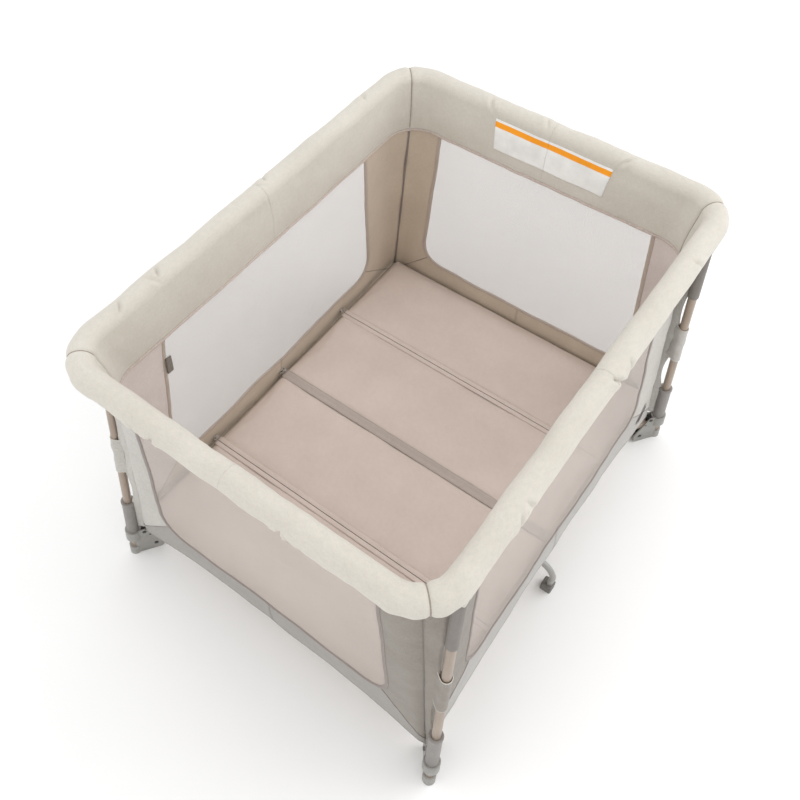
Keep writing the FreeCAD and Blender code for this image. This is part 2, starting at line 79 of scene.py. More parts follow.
CORNERS = {"front_left": (-1, -1), "front_right": (1, -1), "rear_left": (-1, 1), "rear_right": (1, 1)}
SIDES = ("long", "short")

# Places that the frame gives, and clearances between the layers
BAND_GAP = 0.0003           # from the band to the wall behind it
WALL_GAP = 0.0016           # from the middle of a wall to the floor and to the rail's cover
LONG_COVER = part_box("rear_right_long_cover")
SHORT_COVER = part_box("rear_right_short_cover")
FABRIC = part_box("rear_right_fabric")
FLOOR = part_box("fabric_floor")
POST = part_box("rear_right_post")
RAIL_Y = (LONG_COVER[0].y + LONG_COVER[1].y) / 2
RAIL_X = (SHORT_COVER[0].x + SHORT_COVER[1].x) / 2
RAIL_Z = (LONG_COVER[0].z + LONG_COVER[1].z) / 2
COVER_RADIUS = (LONG_COVER[1].z - LONG_COVER[0].z) / 2
COVER_FOOT_Z = RAIL_Z - COVER_RADIUS
PIVOT = {"long": LONG_COVER[1].x, "short": SHORT_COVER[1].y}
HEM_Z = FABRIC[0].z
WALL_HEAD_Z = RAIL_Z + 0.005
WALL_HEAD = (RAIL_X - COVER_RADIUS - WALL_GAP, RAIL_Y - COVER_RADIUS - WALL_GAP)
WALL_FLOOR = (FLOOR[1].x + WALL_GAP, FLOOR[1].y + WALL_GAP)
POST_RADIUS = 0.009
SLEEVE_RADIUS = 0.0135
SLEEVE_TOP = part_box("rear_right_post_sleeve")[1].z
SOCKET_RADIUS = 0.0115
SOCKET_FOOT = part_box("rear_right_corner_casting")[0].z
POST_FOOT = Vector((POST[1].x - POST_RADIUS, POST[1].y - POST_RADIUS, POST[0].z))
POST_HEAD = Vector((POST[0].x + POST_RADIUS, POST[0].y + POST_RADIUS, POST[1].z))
STRAIGHT_SHARE = 0.86       # share of a half side's parameter that lies before the corner's bend
EIGHTH = math.pi / 4
PAST_BAND = 1.05            # share of the band's height to which the walls go up behind it


def sizes(group):
    """One of the playpen's groups of sizes and colours."""
    return getattr(bpy.context.scene, "pen_" + group)


def full_turn(count):
    """Angles round a full turn, without its end."""
    return np.linspace(0, 2 * math.pi, count, endpoint=False)


def units(vectors):
    """Rows of vectors at length 1."""
    return vectors / np.linalg.norm(vectors, axis=1)[:, None]


def ripple(points, wavelength, seed, waves=7):
    """Smooth unit noise at an array of points: plane waves in directions and phases fixed by the seed."""
    random = np.random.default_rng(seed)
    total = np.zeros(points.shape[:-1])
    for _ in range(waves):
        direction = random.normal(size=3)
        direction *= 2 * math.pi / wavelength / np.linalg.norm(direction) * random.uniform(0.6, 1.5)
        total += np.sin(points @ direction + random.uniform(0, 2 * math.pi))
    return total / math.sqrt(waves)


def smooth_step(value, low, high):
    """0 below low, 1 above high, and an even rise between them."""
    share = np.clip((value - low) / (high - low), 0, 1)
    return share * share * (3 - 2 * share)


def bump(value, centre, width):
    """Bell of height 1 about a centre."""
    return np.exp(-((value - centre) / width) ** 2)


def wall_half(height):
    """Half sizes of the walls' middle surface at a height, as (x, y)."""
    share = (height - FLOOR[1].z) / (WALL_HEAD_Z - FLOOR[1].z)
    return tuple(low + (high - low) * share for low, high in zip(WALL_FLOOR, WALL_HEAD))


def behind_band(height):
    """Share of the way up behind the band: 0 at its foot, 1 at the cover's lower edge and a little more past it."""
    foot = sizes("walls").band_foot
    return np.clip((height - foot) / (COVER_FOOT_Z - foot), 0, PAST_BAND)


def wall_round(height):
    """Radius of the walls' upright corners in plan: it grows from hem to band, and shrinks behind the band."""
    pen = sizes("walls")
    share = np.clip((height - HEM_Z) / (pen.band_foot - HEM_Z), 0, 1)
    below = pen.foot_round + (pen.head_round - pen.foot_round) * share
    return below - (pen.head_round - pen.rail_round) * behind_band(height)


def plan(side, length, depth, radius, run, off):
    """Plan place at a run along half a side with a rounded corner: straight, then an eighth of a turn."""
    straight = length - radius
    turn = np.clip((run - straight) / radius, 0, EIGHTH)
    along = np.minimum(run, straight) + (radius + off) * np.sin(turn)
    out = depth - radius + (radius + off) * np.cos(turn)
    return (along, out) if side == "long" else (out, along)


def half_run(length, radius, share):
    """Run along half a side for a share of it, so that shares agree on rails and walls."""
    straight = length - radius
    before = straight * np.minimum(share, STRAIGHT_SHARE) / STRAIGHT_SHARE
    return before + radius * EIGHTH * np.clip((share - STRAIGHT_SHARE) / (1 - STRAIGHT_SHARE), 0, 1)


def wall_place(side, run, height, off):
    """Points of a wall of the rear right quarter, off outward from its middle surface."""
    run, height, off = np.broadcast_arrays(run, height, off)
    half_x, half_y = wall_half(height)
    length, depth = (half_x, half_y) if side == "long" else (half_y, half_x)
    pen = sizes("walls")
    tuck = pen.head_tuck * behind_band(height)
    waist = pen.waist * np.sin(np.pi * np.clip((height - HEM_Z) / (RAIL_Z - HEM_Z), 0, 1))
    waist = waist * np.cos(np.clip(run / length, 0, 1) * math.pi / 2)
    x, y = plan(side, length, depth, wall_round(height), run, off + tuck - waist)
    return np.stack([x, y, height], axis=-1)


def wall_reach(side, height):
    """Run from the middle of a wall to the seam in its corner, at a height."""
    half_x, half_y = wall_half(height)
    radius = wall_round(height)
    return (half_x if side == "long" else half_y) - radius + radius * EIGHTH


def rail_place(side, share, inward, height):
    """Points beside the rail's centre line in the rear right quarter."""
    pen = sizes("rail")
    length, depth = (RAIL_X, RAIL_Y) if side == "long" else (RAIL_Y, RAIL_X)
    run = half_run(length, pen.bend, share)
    x, y = plan(side, length, depth, pen.bend, run, -inward)
    return np.stack(np.broadcast_arrays(x, y, height), axis=-1)


def post_line(height):
    """Points on the rear right post's centre line."""
    shares = (height - POST_FOOT.z) / (POST_HEAD.z - POST_FOOT.z)
    return np.array([POST_FOOT.lerp(POST_HEAD, share) for share in shares])


def mirrored(points, corner):
    """Points of the rear right quarter moved to another corner."""
    sx, sy = CORNERS[corner]
    return points * np.array([sx, sy, 1.0])


def linked(name, data):
    """A new object in the scene."""
    made = bpy.data.objects.new(name, data)
    bpy.context.scene.collection.objects.link(made)
    return made


class Shape:
    """Vertices and faces gathered from grids, each with a material of its own."""

    def __init__(self):
        self.points = []
        self.faces = []
        self.finishes = []
        self.count = 0

    def grid(self, points, wrap_u=False, wrap_v=False, finish=0):
        """Quads over a grid of points. finish is one material index, or one for each quad."""
        rows, columns = points.shape[:2]
        self.points.append(points.reshape(-1, 3))
        u = np.arange(rows if wrap_u else rows - 1)
        v = np.arange(columns if wrap_v else columns - 1)
        u, v = np.meshgrid(u, v, indexing="ij")
        next_u, next_v = (u + 1) % rows, (v + 1) % columns
        corners = [u * columns + v, next_u * columns + v, next_u * columns + next_v, u * columns + next_v]
        self.faces.append(np.stack(corners, axis=-1).reshape(-1, 4) + self.count)
        self.finishes.append(np.broadcast_to(finish, u.shape).reshape(-1))
        self.count += rows * columns

    def shell(self, outer, inner, outer_finish=0, inner_finish=0, rim_finish=0):
        """Closed thin wall between two grids of the same size."""
        self.grid(outer, finish=outer_finish)
        self.grid(inner, finish=inner_finish)
        for edge in (lambda g: g[0], lambda g: g[-1], lambda g: g[:, 0], lambda g: g[:, -1]):
            self.grid(np.stack([edge(outer), edge(inner)]), finish=rim_finish)

    def sweep(self, path, radius, sides=8, finish=0, closed=False):
        """Round cord along a path, with closed ends."""
        self.grid(cord_rings(path, radius, sides, closed), wrap_u=closed, wrap_v=True, finish=finish)

    def build(self, name, materials, closed=True):
        """The object: doubles merged, and faces of closed shells turned outwards."""
        mesh = bpy.data.meshes.new(name)
        faces = np.concatenate(self.faces)
        mesh.from_pydata(np.concatenate(self.points).tolist(), [], faces.tolist())
        mesh.polygons.foreach_set("material_index", np.concatenate(self.finishes).astype(np.int32))
        for material in materials:
            mesh.materials.append(material)
        work = bmesh.new()
        work.from_mesh(mesh)
        bmesh.ops.remove_doubles(work, verts=work.verts, dist=1e-6)
        bmesh.ops.dissolve_degenerate(work, edges=work.edges, dist=1e-7)
        if closed:
            bmesh.ops.holes_fill(work, edges=[edge for edge in work.edges if edge.is_boundary])
            bmesh.ops.recalc_face_normals(work, faces=work.faces)
        work.to_mesh(mesh)
        work.free()
        mesh.shade_smooth()
        return linked(name, mesh)


CAP_SIZE, CAP_LENGTH = 0.05, 0.3        # a cord's end cap, in radii of the cord
STEADY = np.array([0.31, 0.52, 0.79])   # a direction that no cord runs along


def cord_rings(path, radius, sides, closed=False):
    """Rings of a round cord along a path. The ends of an open one shrink to a small cap."""
    path = np.asarray(path, float)
    ahead = np.roll(path, -1, axis=0) - np.roll(path, 1, axis=0) if closed else np.gradient(path, axis=0)
    ahead = units(ahead)
    across = units(np.cross(ahead, STEADY))
    above = np.cross(across, ahead)
    turn = full_turn(sides)
    ring = across[:, None] * np.cos(turn)[None, :, None] + above[:, None] * np.sin(turn)[None, :, None]
    rings = path[:, None] + ring * radius
    if closed:
        return rings
    start = path[:1, None] + ring[:1] * radius * CAP_SIZE - ahead[:1, None] * radius * CAP_LENGTH
    end = path[-1:, None] + ring[-1:] * radius * CAP_SIZE + ahead[-1:, None] * radius * CAP_LENGTH
    return np.concatenate([start, rings, end])


# Materials

SOCKETS = {"metallic": "Metallic", "sheen_weight": "Sheen Weight", "sheen_roughness": "Sheen Roughness",
           "specular": "Specular IOR Level", "coat_weight": "Coat Weight", "coat_roughness": "Coat Roughness"}


class Finish:
    """A new material with its Principled shader, and short ways to add nodes to it."""

    def __init__(self, name, colour, roughness, **sockets):
        self.material = bpy.data.materials.new(name)
        self.material.use_nodes = True
        self.tree = self.material.node_tree
        self.shader = self.tree.nodes["Principled BSDF"]
        self.shader.inputs["Base Color"].default_value = (*colour, 1)
        self.shader.inputs["Roughness"].default_value = roughness
        for socket, value in sockets.items():
            self.shader.inputs[SOCKETS[socket]].default_value = value
        self.coordinates = self.node("ShaderNodeTexCoord")
        self.place = self.coordinates.outputs["Object"]

    def node(self, kind, links=(), **settings):
        """A node with its settings, linked or set at the named or numbered inputs."""
        made = self.tree.nodes.new(kind)
        for setting, value in settings.items():
            setattr(made, setting, value)
        for socket, value in dict(links).items():
            if isinstance(value, bpy.types.NodeSocket):
                self.tree.links.new(value, made.inputs[socket])
            else:
                made.inputs[socket].default_value = value
        return made

    def math(self, operation, *values):
        """Result of a Math node."""
        return self.node("ShaderNodeMath", enumerate(values), operation=operation).outputs[0]

    def noise(self, scale, detail=2.0, stretch=(1, 1, 1)):
        """Noise at the piece's own place, stretched along its axes."""
        place = self.node("ShaderNodeMapping", {"Vector": self.place, "Scale": stretch}).outputs[0]
        links = {"Vector": place, "Scale": scale, "Detail": detail}
        return self.node("ShaderNodeTexNoise", links).outputs["Fac"]

    def ramp(self, value, stops):
        """Colours along a value, as (position, colour) pairs."""
        made = self.node("ShaderNodeValToRGB", {"Fac": value})
        elements = made.color_ramp.elements
        while len(elements) < len(stops):
            elements.new(0.5)
        for element, (position, colour) in zip(elements, stops):
            element.position = position
            element.color = (*colour, 1)
        return made.outputs["Color"]

    def mixed(self, share, first, second, blend="MIX"):
        """Mix of two colours."""
        links = {0: share, 6: first, 7: second}
        links = {k: (*v, 1) if isinstance(v, tuple) else v for k, v in links.items()}
        return self.node("ShaderNodeMix", links, data_type="RGBA", blend_type=blend).outputs[2]

    def weave(self, pitch):
        """Threads that cross, on a surface that faces any way: the axis that it faces along drops out."""
        axes = self.node("ShaderNodeSeparateXYZ", {0: self.place}).outputs
        facing = self.node("ShaderNodeSeparateXYZ", {0: self.coordinates.outputs["Normal"]}).outputs
        total = None
        for axis, face in zip(axes, facing):
            wave = self.math("SINE", self.math("MULTIPLY", axis, 2 * math.pi / pitch))
            wave = self.math("MULTIPLY", wave, self.math("SUBTRACT", 1.0, self.math("POWER", face, 2.0)))
            total = wave if total is None else self.math("ADD", total, wave)
        return total

    def bump(self, layers):
        """Bump from (height, strength, distance) layers, one over the other."""
        normal = None
        for height, strength, distance in layers:
            links = {"Height": height, "Strength": strength, "Distance": distance}
            if normal is not None:
                links["Normal"] = normal
            normal = self.node("ShaderNodeBump", links).outputs[0]
        self.tree.links.new(normal, self.shader.inputs["Normal"])

    def colour(self, socket):
        """Links a colour to the shader."""
        self.tree.links.new(socket, self.shader.inputs["Base Color"])


def shade(colour, factor):
    """A colour made lighter or darker."""
    return tuple(min(1.0, channel * factor) for channel in colour)


def woven_cloth(name, colour, fleck=0.1, pitch=0.0011, creases=0.4, sheen=0.25):
    """Woven cloth: melange flecks along both threads, a fine weave and soft creases."""
    finish = Finish(name, colour, 0.86, sheen_weight=sheen, sheen_roughness=0.5, specular=0.25)
    level = finish.noise(420, 3, (1, 1, 0.25))
    upright = finish.noise(420, 3, (0.25, 0.25, 1))
    both = finish.math("MULTIPLY", finish.math("ADD", level, upright), 0.5)
    stops = [(0.34, shade(colour, 1 - fleck)), (0.5, colour), (0.66, shade(colour, 1 + fleck))]
    flecked = finish.ramp(both, stops)
    patches = finish.ramp(finish.noise(9, 3), [(0.3, (0.93, 0.925, 0.915)), (0.7, (1, 1, 1))])
    finish.colour(finish.mixed(1.0, flecked, patches, "MULTIPLY"))
    weave = finish.weave(pitch)
    soft = finish.noise(26, 4)
    finish.bump([(weave, 0.35, pitch * 0.12), (soft, creases, 0.004), (finish.noise(900, 2), 0.2, 0.0003)])
    return finish.material


def net_cloth(name, colour, pitch, cover):
    """Net: open between its threads, which cover a share of it."""
    finish = Finish(name, colour, 0.8, sheen_weight=0.2, specular=0.2)
    weave = finish.weave(pitch)
    threads = finish.node("ShaderNodeMapRange", {"Value": weave, 1: -1.2, 2: 1.2, 3: cover - 0.3, 4: cover + 0.3})
    finish.tree.links.new(threads.outputs[0], finish.shader.inputs["Alpha"])
    patches = finish.ramp(finish.noise(7, 2), [(0.3, shade(colour, 0.95)), (0.7, shade(colour, 1.04))])
    finish.colour(patches)
    finish.bump([(weave, 0.3, pitch * 0.1)])
    return finish.material


def coated_tube(name, colour):
    """Satin powder coat on tube: faint orange peel and a little wear."""
    finish = Finish(name, colour, 0.36, metallic=0.35, coat_weight=0.15, coat_roughness=0.3)
    worn = finish.noise(60, 4, (1, 1, 0.3))
    finish.colour(finish.ramp(worn, [(0.35, shade(colour, 0.9)), (0.6, colour), (0.8, shade(colour, 1.08))]))
    finish.bump([(finish.noise(1400, 2), 0.12, 0.0002), (finish.noise(8, 2), 0.1, 0.001)])
    return finish.material


def moulded_plastic(name, colour, roughness=0.52):
    """Moulded plastic: fine spark-eroded texture, with slight scuffs."""
    finish = Finish(name, colour, roughness, specular=0.4)
    scuffs = finish.noise(35, 5)
    finish.colour(finish.ramp(scuffs, [(0.3, shade(colour, 0.92)), (0.55, colour), (0.8, shade(colour, 1.07))]))
    rough = finish.node("ShaderNodeMapRange", {"Value": finish.noise(90, 3), 3: roughness - 0.08, 4: roughness + 0.1})
    finish.tree.links.new(rough.outputs[0], finish.shader.inputs["Roughness"])
    finish.bump([(finish.noise(2600, 2), 0.2, 0.0002)])
    return finish.material


def cord_cloth(name, colour):
    """Bias binding and cord: a fine diagonal rib."""
    finish = Finish(name, colour, 0.78, sheen_weight=0.2, specular=0.25)
    ribs = finish.weave(0.0018)
    finish.colour(finish.ramp(finish.noise(300, 2), [(0.35, shade(colour, 0.88)), (0.65, shade(colour, 1.08))]))
    finish.bump([(ribs, 0.4, 0.0003), (finish.noise(60, 2), 0.3, 0.001)])
    return finish.material


def floor_paint(name, colour):
    """Plain pale studio floor."""
    finish = Finish(name, colour, 0.9, specular=0.1)
    finish.colour(finish.ramp(finish.noise(3, 2), [(0.4, shade(colour, 0.995)), (0.6, colour)]))
    return finish.material


# Stitches

STITCH_NODES = {
    "entry": "NodeGroupInput", "leave": "NodeGroupOutput", "curve": "GeometryNodeMeshToCurve",
    "steps": "GeometryNodeResampleCurve", "tangent": "GeometryNodeInputTangent",
    "turn": "FunctionNodeAlignRotationToVector", "size": "ShaderNodeCombineXYZ", "ball": "GeometryNodeMeshIcoSphere",
    "place": "GeometryNodeInstanceOnPoints", "real": "GeometryNodeRealizeInstances",
    "paint": "GeometryNodeSetMaterial", "soft": "GeometryNodeSetShadeSmooth",
}
STITCH_LINKS = (
    ("entry", "Lines", "curve", 0), ("curve", 0, "steps", "Curve"), ("entry", "Pitch", "steps", "Length"),
    ("tangent", 0, "turn", "Vector"), ("entry", "Length", "size", 0), ("entry", "Thickness", "size", 1),
    ("entry", "Thickness", "size", 2), ("steps", 0, "place", "Points"), ("ball", "Mesh", "place", "Instance"),
    ("turn", 0, "place", "Rotation"), ("size", 0, "place", "Scale"), ("place", 0, "soft", 0),
    ("soft", 0, "real", 0), ("real", 0, "paint", "Geometry"), ("entry", "Thread", "paint", "Material"),
    ("paint", 0, "leave", 0),
)


def stitch_tree():
    """Node tree that lays one stitch at even steps along every line of a mesh."""
    tree = bpy.data.node_groups.new("stitch_rows", "GeometryNodeTree")
    sockets = {"Lines": "Geometry", "Pitch": "Float", "Length": "Float", "Thickness": "Float", "Thread": "Material"}
    for name, kind in sockets.items():
        tree.interface.new_socket(name, in_out="INPUT", socket_type="NodeSocket" + kind)
    tree.interface.new_socket("Stitches", in_out="OUTPUT", socket_type="NodeSocketGeometry")
    nodes = {name: tree.nodes.new(kind) for name, kind in STITCH_NODES.items()}
    nodes["steps"].mode = "LENGTH"
    nodes["turn"].axis = "X"
    nodes["ball"].inputs["Radius"].default_value = 0.5
    for source, output, target, socket in STITCH_LINKS:
        tree.links.new(nodes[source].outputs[output], nodes[target].inputs[socket])
    return tree


def stitch_rows(name, lines):
    """Plain mesh of stitches along lines of points."""
    trims = sizes("trims")
    mesh = bpy.data.meshes.new(name)
    count = np.cumsum([0] + [len(line) for line in lines])
    edges = [(i, i + 1) for start, end in zip(count[:-1], count[1:]) for i in range(start, end - 1)]
    mesh.from_pydata(np.concatenate(lines).tolist(), edges, [])
    piece = linked(name, mesh)
    rows = piece.modifiers.new("stitches", "NODES")
    rows.node_group = bpy.data.node_groups.get("stitch_rows") or stitch_tree()
    values = {"Pitch": trims.stitch_pitch, "Length": trims.stitch_length, "Thickness": trims.stitch_width,
              "Thread": surface("pale_thread")}
    for item in rows.node_group.interface.items_tree:
        if item.in_out == "INPUT" and item.name in values:
            rows[item.identifier] = values[item.name]
    apply_modifiers(piece)
    return piece


# The sizes and colours that a user would change


def length(name, description, default):
    """A length in metres."""
    return FloatProperty(name=name, description=description, default=default, min=0, precision=4, unit="LENGTH")


def colour(name, description, default):
    """A linear colour."""
    return FloatVectorProperty(name=name, description=description, default=default, size=3, min=0, max=1,
                               subtype="COLOR")


class PenRail(bpy.types.PropertyGroup):
    """Padded covers of the top rail."""

    bend: length("Bend", "Radius of the rail's corners at its centre line", 0.075)
    band_lift: length("Band thickness", "Thickness of the band of cloth below the rail", 0.003)
    piping: length("Piping", "Radius of the cord along the band's lower edge", 0.0032)
    puff: length("Puff", "Height of the soft waves in the padding", 0.0011)
    seam_depth: length("Seam depth", "How far the mitre seam draws the padding in", 0.0026)
    joint_room: length("Joint room", "Length of cover that bends, to each side of a corner pivot", 0.05)
    cloth: colour("Cloth", "Cover cloth", (0.64, 0.605, 0.54))
    cord: colour("Cord", "Piping", (0.56, 0.475, 0.425))
    thread: colour("Thread", "Thread in the mitre seams", (0.34, 0.29, 0.25))


class PenWalls(bpy.types.PropertyGroup):
    """Walls: corner panels, hem, binding and net."""

    thickness: length("Thickness", "Thickness of the corner panels and the hem", 0.0024)
    foot_round: length("Corner at hem", "Plan radius of the upright corners at the hem", 0.02)
    head_round: length("Corner at band", "Plan radius of the upright corners at the band", 0.08)
    band_foot: length("Band foot", "Height of the lower edge of the band inside the rail", 0.65)
    rail_round: length("Corner at rail", "Plan radius of the upright corners under the rail", 0.055)
    head_tuck: length("Head tuck", "How far the wall's upper edge turns out under the rail", 0.01)
    waist: length("Waist", "How far the walls draw in between floor and rail", 0.004)
    window_foot: length("Window foot", "Height of the net's lower edge", 0.222)
    window_round: length("Window corner", "Size of the net's rounded lower corners", 0.075)
    hem_lift: length("Hem lift", "How far the hem rises in the middle of a side", 0.04)
    hem_pull: length("Hem pull", "How far the hem draws in in the middle of a side", 0.006)
    seam_rise: length("Seam rise", "Height above the hem at which the panel's seam meets the corner", 0.026)
    binding_width: length("Binding width", "Width of the binding round the net", 0.0095)
    binding_lift: length("Binding lift", "Half thickness of the binding", 0.0026)
    net_pitch: length("Net pitch", "Distance between the net's threads", 0.0017)
    outside: colour("Outside", "Outer cloth of the corner panels", (0.5, 0.48, 0.445))
    # painted shade: the outer cloth of two opposite corners, darkened for the shade that falls on them
    dark_outside: colour("Dark outside", "Outer cloth of the two darker corners", (0.262, 0.234, 0.202))
    hem: colour("Hem", "Outer cloth of the hem", (0.42, 0.405, 0.385))
    # painted shade: the hem of the short sides, darkened for the shade on those sides
    shaded_hem: colour("Shaded hem", "Outer cloth of the hem on the short sides", (0.31, 0.292, 0.27))
    # also painted shade: at two corners this cloth takes the place of the lining
    inside: colour("Inside", "Inner cloth of the hem and of the shaded corner", (0.62, 0.525, 0.42))
    lining: colour("Lining", "Inner cloth of the other corner panels", (0.7, 0.63, 0.595))
    binding: colour("Binding", "Binding round the net", (0.27, 0.228, 0.21))
    pale_binding: colour("Pale binding", "Binding's inner face", (0.5, 0.42, 0.36))
    net: colour("Net", "Net", (0.525, 0.482, 0.446))


class PenMattress(bpy.types.PropertyGroup):
    """Mattress pad."""

    inset: length("Inset", "How much smaller a panel is before it swells", 0.0035)
    overhang: length("Overhang", "How far a panel's cloth goes past its block at its ends", 0.0005)
    corner: length("Corner", "Radius of a panel's upright corners", 0.009)
    edge_round: length("Edge", "Radius of a panel's long edges before it swells", 0.005)
    voxel: length("Voxel", "Size of the faces that the swelling works on", 0.006)
    swell: length("Swell", "Furthest that a point moves as the panel swells", 0.0055)
    steps: IntProperty(name="Steps", description="Frames of the swelling", default=20, min=2)
    strip: length("Strip", "Width of the strip over the middle seam", 0.024)
    seam: length("Seam", "Width of the cloth across the other seams", 0.024)
    cloth: colour("Cloth", "Mattress cloth", (0.72, 0.61, 0.55))
    edge: colour("Edge", "Strip over the middle seam", (0.5, 0.43, 0.385))
    tape: colour("Tape", "Ties at the ends of the seams", (0.62, 0.57, 0.52))


class PenFrame(bpy.types.PropertyGroup):
    """Tubes, mouldings and fasteners."""

    edge: length("Edge", "Radius of the mouldings' edges", 0.0009)
    tube: colour("Tube", "Powder coat of the posts", (0.36, 0.285, 0.225))
    leg: colour("Leg", "Powder coat of the middle legs", (0.36, 0.35, 0.33))
    foot: colour("Foot", "Plastic of the feet", (0.31, 0.3, 0.28))
    sleeve: colour("Sleeve", "Plastic of the sleeves", (0.255, 0.235, 0.22))
    casting: colour("Casting", "Plastic of the castings under the rail", (0.2, 0.178, 0.16))
    rivet: colour("Rivet", "Blackened rivets", (0.02, 0.02, 0.02))
    rubber: colour("Rubber", "Foot pads of the middle legs", (0.17, 0.16, 0.15))


class PenTrims(bpy.types.PropertyGroup):
    """Loops, tabs, label and stitching."""

    loop_room: length("Loop room", "Gap between a post and its loop", 0.0008)
    loop_cloth: length("Loop cloth", "Thickness of a loop", 0.0012)
    stitch_pitch: length("Stitch pitch", "Distance between stitches", 0.0055)
    stitch_length: length("Stitch length", "Length of a stitch", 0.0036)
    stitch_width: length("Stitch width", "Thickness of the thread", 0.0006)
    label: colour("Label", "Body of the label", (0.86, 0.86, 0.84))
    stripe: colour("Stripe", "Stripe on the label", (0.98, 0.36, 0.012))
    # painted shade: near-black cloth inside the loops, collars and slot and along the seams' middles; also the cloth
    # of the pull strap and the ties' tails
    dark: colour("Dark", "Inside of loops and slots", (0.06, 0.045, 0.035))
    thread: colour("Thread", "Stitching", (0.6, 0.54, 0.46))
    tab: colour("Tab", "Tab on the rear net", (0.2, 0.175, 0.15))


GROUPS = {"pen_rail": PenRail, "pen_walls": PenWalls, "pen_mattress": PenMattress, "pen_frame": PenFrame,
          "pen_trims": PenTrims}


# each surface's maker, the group and name of its colour, and the maker's other values
SURFACES = {
    "cover_cloth": (woven_cloth, "rail", "cloth", 0.05),
    "piping_cloth": (cord_cloth, "rail", "cord"),
    "mitre_thread": (cord_cloth, "rail", "thread"),
    "outer_cloth": (woven_cloth, "walls", "outside", 0.13),
    # painted shade of the outer cloth at two corners
    "dark_outer_cloth": (woven_cloth, "walls", "dark_outside", 0.1),
    "hem_cloth": (woven_cloth, "walls", "hem", 0.08),
    "shaded_hem_cloth": (woven_cloth, "walls", "shaded_hem"),
    "inner_cloth": (woven_cloth, "walls", "inside", 0.05),
    "lining_cloth": (woven_cloth, "walls", "lining", 0.05),
    "binding_cloth": (cord_cloth, "walls", "binding"),
    "pale_binding_cloth": (cord_cloth, "walls", "pale_binding"),
    "net_cloth": (net_cloth, "walls", "net"),
    "mattress_cloth": (woven_cloth, "mattress", "cloth", 0.03, 0.0013, 0.25, 0.4),
    "strip_cloth": (woven_cloth, "mattress", "edge", 0.05),
    "tie_tape": (cord_cloth, "mattress", "tape"),
    # near-black: painted shade inside loops, collars and slot and along seams, also the pull strap and ties' tails
    "dark_cloth": (cord_cloth, "trims", "dark"),
    "pale_thread": (cord_cloth, "trims", "thread"),
    "tab_cloth": (cord_cloth, "trims", "tab"),
    "label_white": (moulded_plastic, "trims", "label", 0.42),
    "label_stripe": (moulded_plastic, "trims", "stripe", 0.45),
    "post_coat": (coated_tube, "frame", "tube"),
    "leg_coat": (coated_tube, "frame", "leg"),
    "rivet_black": (coated_tube, "frame", "rivet"),
    "foot_plastic": (moulded_plastic, "frame", "foot"),
    "sleeve_plastic": (moulded_plastic, "frame", "sleeve", 0.45),
    "casting_plastic": (moulded_plastic, "frame", "casting", 0.5),
    "pad_rubber": (moulded_plastic, "frame", "rubber", 0.8),
}


made_surfaces = {}


def surface(name, *more):
    """A material by name, made the first time that it is asked for."""
    if name not in made_surfaces:
        make, group, tint, *values = SURFACES[name]
        made_surfaces[name] = make(name, tuple(getattr(sizes(group), tint)), *values, *more)
    return made_surfaces[name]


def outside_of(corner):
    """Outer cloth of a corner: darker at two opposite corners, as painted shade."""
    return surface("dark_outer_cloth" if corner in PAINTED_SHADE_CORNERS else "outer_cloth")


def attach(piece, body):
    """Fixes a piece to a body."""
    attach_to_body(piece, body)


# Rail covers

TUCKS = {
    # places along each side, with depth, middle angle round the tube and slant
    ("long", -1): ((0.004, 0.0042, 2.6, 0.02), (0.047, 0.0036, 2.9, -0.016), (0.02, 0.0025, 3.5, 0.01),
                   (-0.272, 0.0024, 2.7, 0.01), (-0.303, 0.0028, 3.0, -0.012), (0.318, 0.0026, 2.4, 0.014)),
    ("long", 1): ((0.342, 0.0026, 1.7, 0.01), (0.006, 0.002, 1.6, -0.01), (0.026, 0.0026, 2.0, 0.012),
                  (-0.276, 0.0032, 1.5, 0.014), (-0.293, 0.0024, 1.2, -0.012), (-0.372, 0.003, 1.3, 0.016)),
    ("short", -1): ((0.147, 0.003, 3.4, 0.012), (0.184, 0.0034, 3.6, -0.012), (-0.116, 0.0036, 3.5, 0.012),
                    (-0.138, 0.003, 3.7, -0.014)),
    ("short", 1): ((0.147, 0.0026, 0.9, 0.012), (-0.164, 0.003, 1.0, -0.014), (0.02, 0.0018, 1.4, 0.012)),
}
TUCK_DEPTH, TUCK_LIPS, TUCK_CREASES = 1.9, 0.6, 0.22      # of a tuck's depth: groove, lips beside it, fine creases
GATHERS, MITRE_LIP = 0.00168, 0.0012        # heights of the gathers and of the lip beside a mitre seam
BAND_WAVE = 0.0006
BAND_ROWS = 20
BAND_BULGE = 0.0035
TUBE_STEPS = 40
BACK_ROWS = 8
TUBE_END = math.radians(318)
COVER_SHARES = np.concatenate([np.linspace(0, 0.84, 150), np.linspace(0.842, 0.985, 44), np.linspace(0.987, 1, 9)])
MITRE_ANGLES = (-0.98, 4.2)     # part of the section on which the mitre seam's thread shows
MITRE_THREAD = 0.0011
THREAD_LIFT = 0.0003


